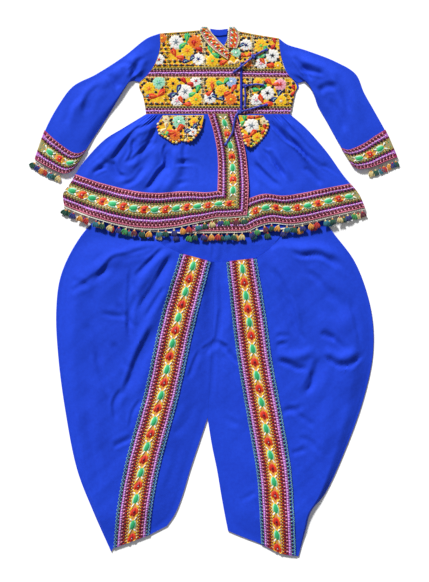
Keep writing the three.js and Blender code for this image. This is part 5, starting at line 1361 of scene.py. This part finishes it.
BAND_STRIPES = [(0.2, "khaki"), (0.46, "wine"), (0.7, "mauve"), (0.92, "wine"), (1.0, "salmon")]
BAND_WIDTHS = {"chest": 18.0, "waist": 14.4}
for name, (top, bottom) in FRONT_BANDS.items():
    level = over_level if name.endswith("right") else under_level
    surface = cut(top, bottom, [top[0], bottom[0]], [top[1], bottom[1]])
    flat = spread(surface, 70, np.linspace(0, 1, 7))
    wide = BAND_WIDTHS[name[:5]]
    ribbon = Ribbon(along_hem(laid(flat, level(flat[..., 0], flat[..., 1]))), wide)
    keep(woven_ground(f"{name}_ground", ribbon, BAND_STRIPES, PATCH_CLOTH), "lace", name)
    work = Needlework(lambda s, t, h: ribbon(s, t, PATCH_CLOTH + h))
    places = ribbon.places(0, 6.6)
    work.sew("cream", DOT, places, 0.06 * wide, (1.5, 0.9), 0.8)
    work.sew("black", ROUND, places + 3.3, 0.14 * wide, (2.3, 1.9), 0.9)
    work.sew("maroon", ROUND, places, 0.33 * wide, (2.2, 2.2), 1.1)
    work.sew("pink", DOT, places + 3.3, 0.32 * wide, (1.4, 1.8), 0.9)
    beads = ribbon.places(0, 4.4)
    sway = 0.035 * wide * np.sin(beads / 4)
    work.sew("lilac", ROUND, beads, 0.58 * wide + sway, (2.2, 1.8), 1.5, 0.5)
    work.sew("white", DOT, beads[::2] + 1.4, 0.58 * wide + sway[::2], (1.3, 1.0), 1.8)
    work.sew("maroon", ROUND, places + 1.2, 0.81 * wide, (2.2, 1.9), 1.1)
    work.sew("pink", DOT, places + 4.5, 0.80 * wide, (1.4, 1.5), 0.9)
    work.sew("khaki", DOT, places + 2.7, 0.95 * wide, (1.8, 0.8), 0.8)
    keep(work.finish(f"{name}_stitches"), "lace")

# A roll of bias-cut blue cotton finishes the over front's edge.
PIPING = {"inner": OVER_EDGE, "outer": OVER_EDGE + 5, "top": 458, "bottom": WAIST + 1}
flat = np.stack(np.meshgrid(np.linspace(PIPING["inner"] + 0.15, PIPING["outer"] - 0.15, 9),
                            np.linspace(PIPING["top"], PIPING["bottom"], 60)), axis=2)
low = over_level(flat[..., 0], flat[..., 1])
rounded = PATCH * np.sqrt(1 - 0.8 * np.linspace(-1, 1, 9)[None] ** 2)
roll = rounded + 0.5 + 0.12 * limp(flat[..., 0], flat[..., 1], 12)
BLUE_PIPING = plain_woven_cotton("bias_cut_cotton_piping", math.radians(45), "#0a1c8c", "#122cb0")
keep(shell("placket_piping_roll", laid(flat, low + roll), laid(flat, low), [BLUE_PIPING]), "blue_cotton",
     "placket_piping")

# ---------------------------------------------------------------- collar
# The stand collar is two stiff lace strips, pressed flat over the neck edge so that they meet at the lap,
# with a plain blue strip inside the back of the neck. Sprigs of white, orange and green leaves run along
# their red middle.

COLLARS = {
    "collar_right": {"top": [(-32, 521), (-27, 529), (-16, 530)], "bottom": [(26, 463), (28, 481)],
                     "left": [(-32, 521), (-18, 499), (2, 479), (26, 463)],
                     "right": [(-16, 530), (-5, 516), (9, 500), (28, 481)]},
    "collar_left": {"top": [(28, 530), (38, 530), (46, 522)], "bottom": [(25, 488), (44, 486)],
                    "left": [(28, 530), (25, 511), (25, 488)], "right": [(46, 522), (50, 504), (44, 486)]},
    "collar_back": {"top": [(-10, 526), (8, 524), (26, 526)], "bottom": [(-8, 514), (8, 512), (23, 514)],
                    "left": [(-10, 526), (-8, 514)], "right": [(26, 526), (23, 514)]},
}
COLLAR_WIDTH = 19.0
COLLAR_STRIPES = [(0.14, "cream"), (0.26, "salmon"), (0.74, "vermilion"), (0.86, "salmon"), (1.0, "cream")]
for name, edges in COLLARS.items():
    surface = cut(edges["top"], edges["bottom"], edges["left"], edges["right"])
    flat = spread(surface, 10, np.linspace(0, 1, 31))
    x, y = flat[..., 0], flat[..., 1]
    if name == "collar_back":
        foot = CLOTH + SEAM
        strip = shell(f"{name}_cloth", laid(flat, foot + PATCH), laid(flat, foot), [BLUE_KEDIYU])
        keep(strip, "blue_cotton", name)
        continue
    if name == "collar_right":
        low = over_level(x + 5, y) + PATCH + 2 * SEAM
    else:
        low = CLOTH + PATCH + 2 * SEAM
    ribbon = Ribbon(laid(flat, low), COLLAR_WIDTH)
    keep(woven_ground(f"{name}_ground", ribbon, COLLAR_STRIPES, PATCH_CLOTH), "embroidery", name)
    work = Needlework(lambda s, t, h: ribbon(s, t, PATCH_CLOTH + h))
    for t in (1.2, COLLAR_WIDTH - 1.2):
        places = ribbon.places(t, 3.6)
        work.sew("cream", DOT, places, t, (1.6, 1.2), 0.9)
        work.sew("khaki", DOT, places + 1.8, t + (1.6 if t < 5 else -1.6), (1.0, 0.8), 0.8)
    flowers = ribbon.places(COLLAR_WIDTH / 2, 11.0)
    for colour, along, across, size, turn in (
            ("orange", 0.0, 0.0, (4.6, 2.2), 0.7), ("yellow", 2.4, 2.6, (3.4, 1.2), 0.9),
            ("white", -2.6, -3.0, (3.4, 1.4), 0.8), ("white", 4.8, 3.6, (2.8, 1.2), 0.5),
            ("green", 5.4, -2.4, (2.6, 1.4), 1.0), ("cream", -5.0, 3.0, (2.8, 1.1), 0.7)):
        work.sew(colour, LEAF, flowers + along, COLLAR_WIDTH / 2 + across, size, 1.3, turn)
    work.sew("teal", ROUND, np.full(4, 2.4), np.linspace(3.5, COLLAR_WIDTH - 3.5, 4), (2.2, 2.4), 1.0)
    work.sew("khaki", ROUND, np.full(3, 5.2), np.linspace(6, COLLAR_WIDTH - 6, 3), (1.6, 1.8), 1.2)
    keep(work.finish(f"{name}_stitches"), "embroidery")

# ---------------------------------------------------------------- flaps
# Two small patchwork flaps, like pocket tops, are caught in the waist seam and hang free over the skirt.
# Their edges are trimmed with cream, orange and yellow bobbles.

FLAPS = {
    "flap_right": {
        "flat": (0.092, 0.056), "area": 0.0040, "rests_on": over_cloth,
        "top": [(-104, 352), (-22, 352)],
        "bottom": [(-110, 315), (-94, 306), (-79, 297), (-66, 303), (-52, 300), (-38, 311)],
        "left": [(-104, 352), (-114, 334), (-110, 315)], "right": [(-22, 352), (-26, 332), (-38, 311)],
        "braids": [(-57, "cream")],
        "flowers": [(-72, 339, 12, "mint", "white"), (-42, 338, 9, "yellow", "orange"),
                    (-80, 312, 11, "orange", "red"), (-44, 318, 8, "white", "orange"),
                    (-98, 344, 7, "cream", "orange")],
        "leaves": [(-78, 322, 15, 30, "vermilion"), (-47, 325, 12, 35, "navy"), (-100, 327, 10, 60, "cream"),
                   (-100, 314, 8, 20, "green"), (-32, 341, 7, 60, "black")],
    },
    "flap_left": {
        "flat": (0.055, 0.062), "area": 0.0028, "rests_on": under_cloth,
        "top": [(46, 352), (96, 352)], "bottom": [(61, 295), (72, 290), (90, 303), (101, 318)],
        "left": [(46, 352), (53, 325), (61, 295)], "right": [(96, 352), (106, 334), (101, 318)],
        "braids": [(92, "yellow")],
        "flowers": [(73, 331, 13, "white", "grey"), (84, 308, 9, "yellow", "orange"),
                    (98, 340, 8, "cream", "khaki"), (64, 300, 7, "orange", "red")],
        "leaves": [(56, 342, 12, 65, "green"), (79, 349, 11, 10, "vermilion"), (68, 313, 14, 25, "vermilion"),
                   (98, 324, 9, 75, "red"), (82, 297, 7, 30, "lime")],
    },
}
FLAP_RISE = 4.6
FLAP_TOP = 352
CURL = {"most": 0.9, "down": 50, "wave": 8.5}
BOBBLE_SPACING = 6.2
for name, edges in FLAPS.items():
    below = (lambda x, y: front_level(x, y) + SKIRT_LAP * lap(x, y)) if name == "flap_right" else front_level

    def flap_level(x, y):
        """The flap stands off the gathers, and its free edge curls a little."""
        hang = (FLAP_TOP - y) / CURL["down"]
        curl = CURL["most"] * hang * np.sin(x / CURL["wave"]) * soft(hang)
        return below(x, y) + CLOTH + FLAP_RISE + curl

    ground, flat = patchwork_ground(f"{name}_ground", edges, flap_level)
    stitches = patchwork_stitches(name, edges, flat, flap_level)
    rim = np.concatenate([flat[8:, 0], flat[-1, 1:], flat[-2:8:-1, -1]])
    line = smooth_line(rim[::3])
    spots = line(np.linspace(0.01, 0.99, round(line.length / BOBBLE_SPACING)))
    bobbles = Needlework(lambda x, y, h: np.stack([x, y, flap_level(x, y) + 0.4 + h], axis=-1))
    for colour, first in (("cream", 0), ("orange", 1), ("yellow", 2)):
        bobbles.sew(colour, ROUND, spots[first::3, 0], spots[first::3, 1], (3.2, 3.0), 2.4)
    trim = keep(bobbles.finish(f"{name}_bobbles"), "embroidery")
    keep(ground, "embroidery", name)

# ---------------------------------------------------------------- sleeves and cuffs
# Each sleeve is a tapering tube of the blue cotton, pressed flat, that hangs from its armhole. Its end is
# bound in a broad lace cuff, wider at the outer fold than at the underarm.

SLEEVES = {
    "right": {
        "outer": [(-110, 517), (-136, 507), (-182, 471), (-238, 435), (-284, 411), (-312, 375), (-338, 327),
                  (-360, 265)],
        "under": [(-150, 419), (-166, 421), (-182, 411), (-200, 375), (-222, 339), (-246, 303), (-268, 267),
                  (-278, 250)],
        "end": [(-360, 265), (-340, 252), (-318, 241), (-302, 236), (-288, 240), (-278, 250)],
        "cuff": (58, 38),
        "folds": [
            ([(-198, 448), (-188, 458), (-172, 454), (-164, 438), (-172, 424)], 11, -3.0, 0.3),
            ([(-214, 436), (-204, 424), (-192, 404)], 11, -2.6, 0.3),
            ([(-150, 470), (-156, 450), (-168, 432)], 12, -2.4),
            ([(-226, 418), (-254, 388), (-262, 350)], 14, -2.2, 0.3),
            ([(-262, 400), (-290, 372), (-300, 330)], 12, -1.4),
            ([(-140, 492), (-200, 446), (-262, 390), (-296, 330)], 24, 2.2),
            ([(-176, 472), (-164, 448), (-180, 424)], 14, 2.0),
        ],
    },
    "left": {
        "outer": [(128, 507), (144, 495), (182, 483), (244, 459), (282, 435), (298, 399), (318, 363),
                  (344, 315), (364, 269)],
        "under": [(166, 417), (182, 420), (195, 407), (204, 375), (224, 339), (244, 303), (266, 267),
                  (276, 251)],
        "end": [(364, 269), (346, 262), (326, 253), (306, 247), (288, 245), (276, 251)],
        "cuff": (56, 40),
        "folds": [
            ([(156, 474), (176, 448), (196, 420)], 13, -3.2, 0.4),
            ([(168, 446), (196, 440), (222, 434)], 11, -2.4, 0.3),
            ([(206, 398), (224, 410), (246, 408)], 11, -2.0),
            ([(240, 440), (258, 402), (270, 352)], 16, -2.2, 0.3),
            ([(228, 388), (250, 352), (262, 316)], 12, -1.4),
            ([(150, 480), (200, 458), (262, 408), (300, 330)], 24, 2.2),
            ([(150, 476), (186, 446), (214, 400)], 15, 1.8),
        ],
    },
}
SLEEVE_COLUMNS = 44
SLEEVE_ROWS = (64, 16)
CUFF_START = 11 / 13
CUFF_WIDTH = 50.0
SLEEVE_PUFF = 4.4
SLEEVE_DEPTH = 1.6
SIDE_FADE, TOP_FADE = 0.3, 0.12  # shares of the sleeve over which its air runs out
TO_CUFF = {"lift_from": 0.16, "lift_over": 0.15, "calm_from": 0.04, "calm_over": 0.2, "calm": 0.3}
TOP_PLEATS = {"rise": 0.5, "count": 4.5, "down": 0.16}
TUBE_BEND = (60, 30, 0, -30, -60)  # degrees round a side fold
cuff_edges = {}


def tube_rings(flat, level, lift, out):
    """Rings round a flattened tube, moved out from its cloth's outer face."""
    radius = WALLS / 2 + out
    near, far = flat[:, 0] - flat[:, 1], flat[:, -1] - flat[:, -2]
    near, far = (way / np.linalg.norm(way, axis=1, keepdims=True) for way in (near, far))
    upper = laid(flat, lift + WALLS + level + out)
    upper[:, 0, :2] -= near * WALLS / 2
    upper[:, -1, :2] -= far * WALLS / 2
    lower = upper[:, ::-1].copy()
    lower[..., 2] = lift - out

    def bend(centre, way, degrees):
        return np.stack([np.concatenate([centre[:, :2] + way * radius * math.cos(math.radians(a)),
                                         lift + WALLS / 2 + radius * math.sin(math.radians(a))], axis=1)
                         for a in degrees], axis=1)

    return np.concatenate([upper, bend(upper[:, -1], far, TUBE_BEND), lower,
                           bend(upper[:, 0], near, TUBE_BEND[::-1])], axis=1)


for side, sleeve in SLEEVES.items():
    surface = cut(ARMHOLES[side], sleeve["end"], sleeve["outer"], sleeve["under"])
    columns = np.linspace(0, 1, SLEEVE_COLUMNS + 1)
    cuff_width = np.interp(columns, (0, 1), sleeve["cuff"])
    rows = hem_rows(surface, SLEEVE_COLUMNS, *SLEEVE_ROWS, lambda x: cuff_width)
    flat = spread(surface, SLEEVE_COLUMNS, rows, left=0, right=0, top=4 * SEAM, bottom=0)
    down = share_down(*SLEEVE_ROWS, CUFF_START)
    x, y = flat[..., 0], flat[..., 1]
    lift = BAND_LIFT * soft((down - CUFF_START + TO_CUFF["lift_from"]) / TO_CUFF["lift_over"])
    puffed = soft((CUFF_START + TO_CUFF["calm_from"] - down) / TO_CUFF["calm_over"])
    calm = TO_CUFF["calm"] + (1 - TO_CUFF["calm"]) * puffed
    bulge = soft(columns[None] / SIDE_FADE) * soft((1 - columns[None]) / SIDE_FADE) * soft(down / TOP_FADE)
    pleats = (TOP_PLEATS["rise"] * np.sin(2 * TOP_PLEATS["count"] * math.pi * columns[None] + 1)
              * soft(1 - down / TOP_PLEATS["down"]))
    swell = SLEEVE_PUFF + folds(sleeve["folds"], SLEEVE_DEPTH)(x, y) + 0.8 * limp(x, y, 30) + pleats
    level = np.maximum(0, bulge * swell * calm)
    tube = shell(f"sleeve_{side}_cloth", tube_rings(flat, level, lift, 0.0),
                 tube_rings(flat, level, lift, -CLOTH), [BLUE_KEDIYU], ring=True)
    keep(tube, "blue_cotton", f"sleeve_{side}")
    cuff = slice(SLEEVE_ROWS[0], None)
    names = list(dict.fromkeys(colour for _, colour in KEDIYU_STRIPES))
    middles = (np.arange(SLEEVE_ROWS[1]) + 0.5) / SLEEVE_ROWS[1]
    stripe = [names.index(next(colour for to, colour in KEDIYU_STRIPES if share <= to)) for share in middles]
    walls = [tube_rings(flat[cuff], level[cuff], lift[cuff], out) for out in (SEAM + BAND, SEAM)]
    ground = shell(f"cuff_lace_{side}_ground", *walls, [THREADS[c] for c in names], ring=True,
                   kinds=np.repeat(stripe, walls[0].shape[1]))
    keep(ground, "lace", f"cuff_band_{side}")
    face = along_hem(walls[1][:, 1:SLEEVE_COLUMNS])
    stitches = kediyu_stitches(f"cuff_lace_{side}", Ribbon(face, CUFF_WIDTH), 0.5)
    cuff_edges[side] = flat[-1]

# ---------------------------------------------------------------- tassels
# Each hem and cuff is trimmed with a heading braid that little tassels of acrylic yarn hang from. Each tassel
# is a bundle of yarns in one or two colours, wrapped at its neck and hung on a white loop.

YARN_COLOURS = {"bottle": "#0f5c46", "petrol": "#1f8296", "ink": "#232c8c", "scarlet": "#cc2a26",
                "wine": "#70183a", "amber": "#f2a53a", "straw": "#f2dc96", "ivory": "#f6efe2",
                "leaf": "#3aa458"}
YARN_TURNS = ["bottle", "ink", "amber", "scarlet", "petrol", "bottle", "straw", "ink", "leaf", "wine",
              "bottle", "amber", "petrol"]
TASSEL_LENGTH = 16.0
TASSEL_SPREAD = 5.6
DROOP = 1.6
YARNS = 11
YARN_THICK = 1.4
LEAN = {"most": 0.22, "turn": 2.4, "first": 1}
STRIP_GAP, STRIP_WIDTH, STRIP_THICK = SEAM, 3.0, 1.2
STRIP_RIDGES = (0.8, 1.2, 0.9, 1.3)  # how thick the heading is across its width, as shares
FLECKS = (1, 4, 6)  # the yarns of a tassel in its second colour
NECK_YARNS = ("amber", "scarlet", "straw")
LOOP = [(-0.8, 0, 0), (2.0, 0.5, 0.3), (4.6, 0, 0)]  # out from the heading, to its side, and up
WRAP = [(3.4, 0, 0), (4.8, 0, 0.1), (6.4, 0, 0)]


def acrylic_yarn(name):
    """Spun acrylic yarn: soft, hairy and quite matt."""
    made, tree, shader, place = material(f"acrylic_yarn_{name}", Roughness=0.9, Sheen_Weight=0.35)
    hairs = node(tree, "ShaderNodeTexNoise", {"Vector": place, "Scale": 1200.0, "Detail": 3.0})
    colour = linear(YARN_COLOURS[name])
    tone = node(tree, "ShaderNodeMix", {0: hairs.outputs["Fac"], 6: darker(colour, 0.5), 7: colour},
                data_type="RGBA")
    tree.links.new(tone.outputs[2], shader.inputs["Base Color"])
    return made


YARN = {name: acrylic_yarn(name) for name in YARN_COLOURS}
hand = np.random.default_rng(23)


def tassel_row(name, edge, count, outward):
    """A heading braid beside an edge of the cloth, with its tassels. outward is the free side, 1 or -1."""
    ahead = np.gradient(edge[:, :2], axis=0)
    ahead /= np.linalg.norm(ahead, axis=1, keepdims=True)
    out = outward * np.stack([-ahead[:, 1], ahead[:, 0]], axis=1)
    out = np.concatenate([out, 0 * out[:, :1]], axis=1)
    across = np.linspace(0, 1, len(STRIP_RIDGES))
    braid = np.stack([edge + out * (STRIP_GAP + STRIP_WIDTH * share) for share in across], axis=1)
    ridge = np.array(STRIP_RIDGES)[None, :, None] * np.array([0, 0, 1.0]) * STRIP_THICK
    strip = shell(f"{name}_heading", braid + ridge, braid, [YARN["ivory"]])
    keep(strip, "tassel_yarn", name)
    free = edge + out * (STRIP_GAP + STRIP_WIDTH)
    gone = np.concatenate([[0], np.cumsum(np.linalg.norm(np.diff(free, axis=0), axis=1))])
    points, faces, kinds, used, start = [], [], [], list(YARN_COLOURS), 0
    for n in range(count):
        place = (n + 0.5) / count * gone[-1]
        root = np.array([np.interp(place, gone, free[:, axis]) for axis in range(3)])
        root = root + (0, 0, STRIP_THICK / 2)
        way = np.array([np.interp(place, gone, out[:, axis]) for axis in range(3)])
        lean = LEAN["most"] * math.sin(LEAN["turn"] * n + LEAN["first"])
        way = way + lean * np.array([way[1], -way[0], 0])
        side = np.array([-way[1], way[0], 0])
        first, second = YARN_TURNS[n % len(YARN_TURNS)], YARN_TURNS[(3 * n + 5) % len(YARN_TURNS)]
        bodies = [("ivory", 0.7, LOOP), (NECK_YARNS[n % 3], 2.3, WRAP)]
        # Each yarn leaves the neck, bellies out to its side and hangs down to its own length.
        for k in range(YARNS):
            swing = TASSEL_SPREAD * (2 * k / (YARNS - 1) - 1) * (0.85 + 0.2 * hand.random())
            reach = TASSEL_LENGTH * (0.88 + 0.14 * hand.random()) - 0.10 * abs(swing)
            rise = 0.9 * math.cos(2.4 * k) + 0.3
            bodies.append((second if k in FLECKS else first, YARN_THICK,
                           [(4.6, 0.2 * swing, 0.2 * rise), (8.0, 0.74 * swing, rise - 0.25 * DROOP),
                            (12, swing, rise - 0.6 * DROOP), (reach, 0.94 * swing, 0.4 * rise - DROOP)]))
        for colour, thick, route in bodies:
            path = np.array([root + way * along + side * off + (0, 0, up) for along, off, up in route])
            path = smooth_line(path)(np.linspace(0, 1, 6))
            path[:, 2] = np.maximum(path[:, 2], 0.3 + thick)
            yarn, groups = twisted(path, thick * np.array([0.8, 1, 1, 1, 0.95, 0.6]), sides=5, depth=0.0)
            points.append(yarn)
            for group in groups:
                faces.append(group + start)
                kinds.append(np.full(len(group), used.index(colour)))
            start += len(yarn)
    yarns = make(f"{name}_yarn", np.concatenate(points), faces, [YARN[c] for c in used],
                 np.concatenate(kinds))
    return keep(yarns, "tassel_yarn")


CUFF_LEVEL = BAND_LIFT + 0.4
CUFF_TRIMMED = round(SLEEVE_COLUMNS * 4 / 6)
tassel_row("hem_tassels_right", over_net[-1], 24, -1)
tassel_row("hem_tassels_left", under_net[-1], 23, -1)
tassel_row("hem_tassels_back", raised(back_net[-1], -0.6), 20, -1)
for side, outward in (("right", -1), ("left", 1)):
    cuff_edge = laid(cuff_edges[side][None, :CUFF_TRIMMED + 1], CUFF_LEVEL)[0]
    tassel_row(f"cuff_tassels_{side}", cuff_edge, 7, outward)

# ---------------------------------------------------------------- floor and light
# A white studio floor, with one broad soft light from the collar's side and the even light of a white room.

FLOOR_HALF = 4000.0
FLOOR_GAP = 0.1
KEY = {"strength": 5.6, "softness": 9.0, "height": 30.0, "turn": 24.0}
ROOM = 0.26


def matt_paper():
    """Background paper: white, matt and even."""
    made, tree, shader, place = material("background_paper", Roughness=0.95)
    fibres = node(tree, "ShaderNodeTexNoise", {"Vector": place, "Scale": 300.0, "Detail": 2.0})
    tone = node(tree, "ShaderNodeMix", {0: fibres.outputs["Fac"], 6: linear("#fbfbfb"), 7: linear("#ffffff")},
                data_type="RGBA")
    tree.links.new(tone.outputs[2], shader.inputs["Base Color"])
    return made


corners = np.array([(-1, -1, 0), (1, -1, 0), (1, 1, 0), (-1, 1, 0)]) * FLOOR_HALF - (0, 0, FLOOR_GAP)
floor = make("floor", corners, [np.array([[0, 1, 2, 3]])], [matt_paper()])
floor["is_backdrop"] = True

key = bpy.data.objects.new("key_light", bpy.data.lights.new("key_light", "SUN"))
key.data.energy = KEY["strength"]
key.data.angle = math.radians(KEY["softness"])
key.rotation_euler = (math.radians(KEY["height"] - 90), 0, math.radians(KEY["turn"]))
bpy.context.scene.collection.objects.link(key)

room = bpy.data.worlds.new("room")
room.use_nodes = True
room.node_tree.nodes["Background"].inputs["Color"].default_value = linear("#ffffff")
room.node_tree.nodes["Background"].inputs["Strength"].default_value = ROOM
bpy.context.scene.world = room
bpy.context.scene.view_settings.view_transform = "Standard"

# ---------------------------------------------------------------- sizes of the CAD parts and of the scene

size = {name: [[float(v) for v in corner] for corner in box]
        for name, box in (("cad", CAD_BOX), ("visual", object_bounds()))}
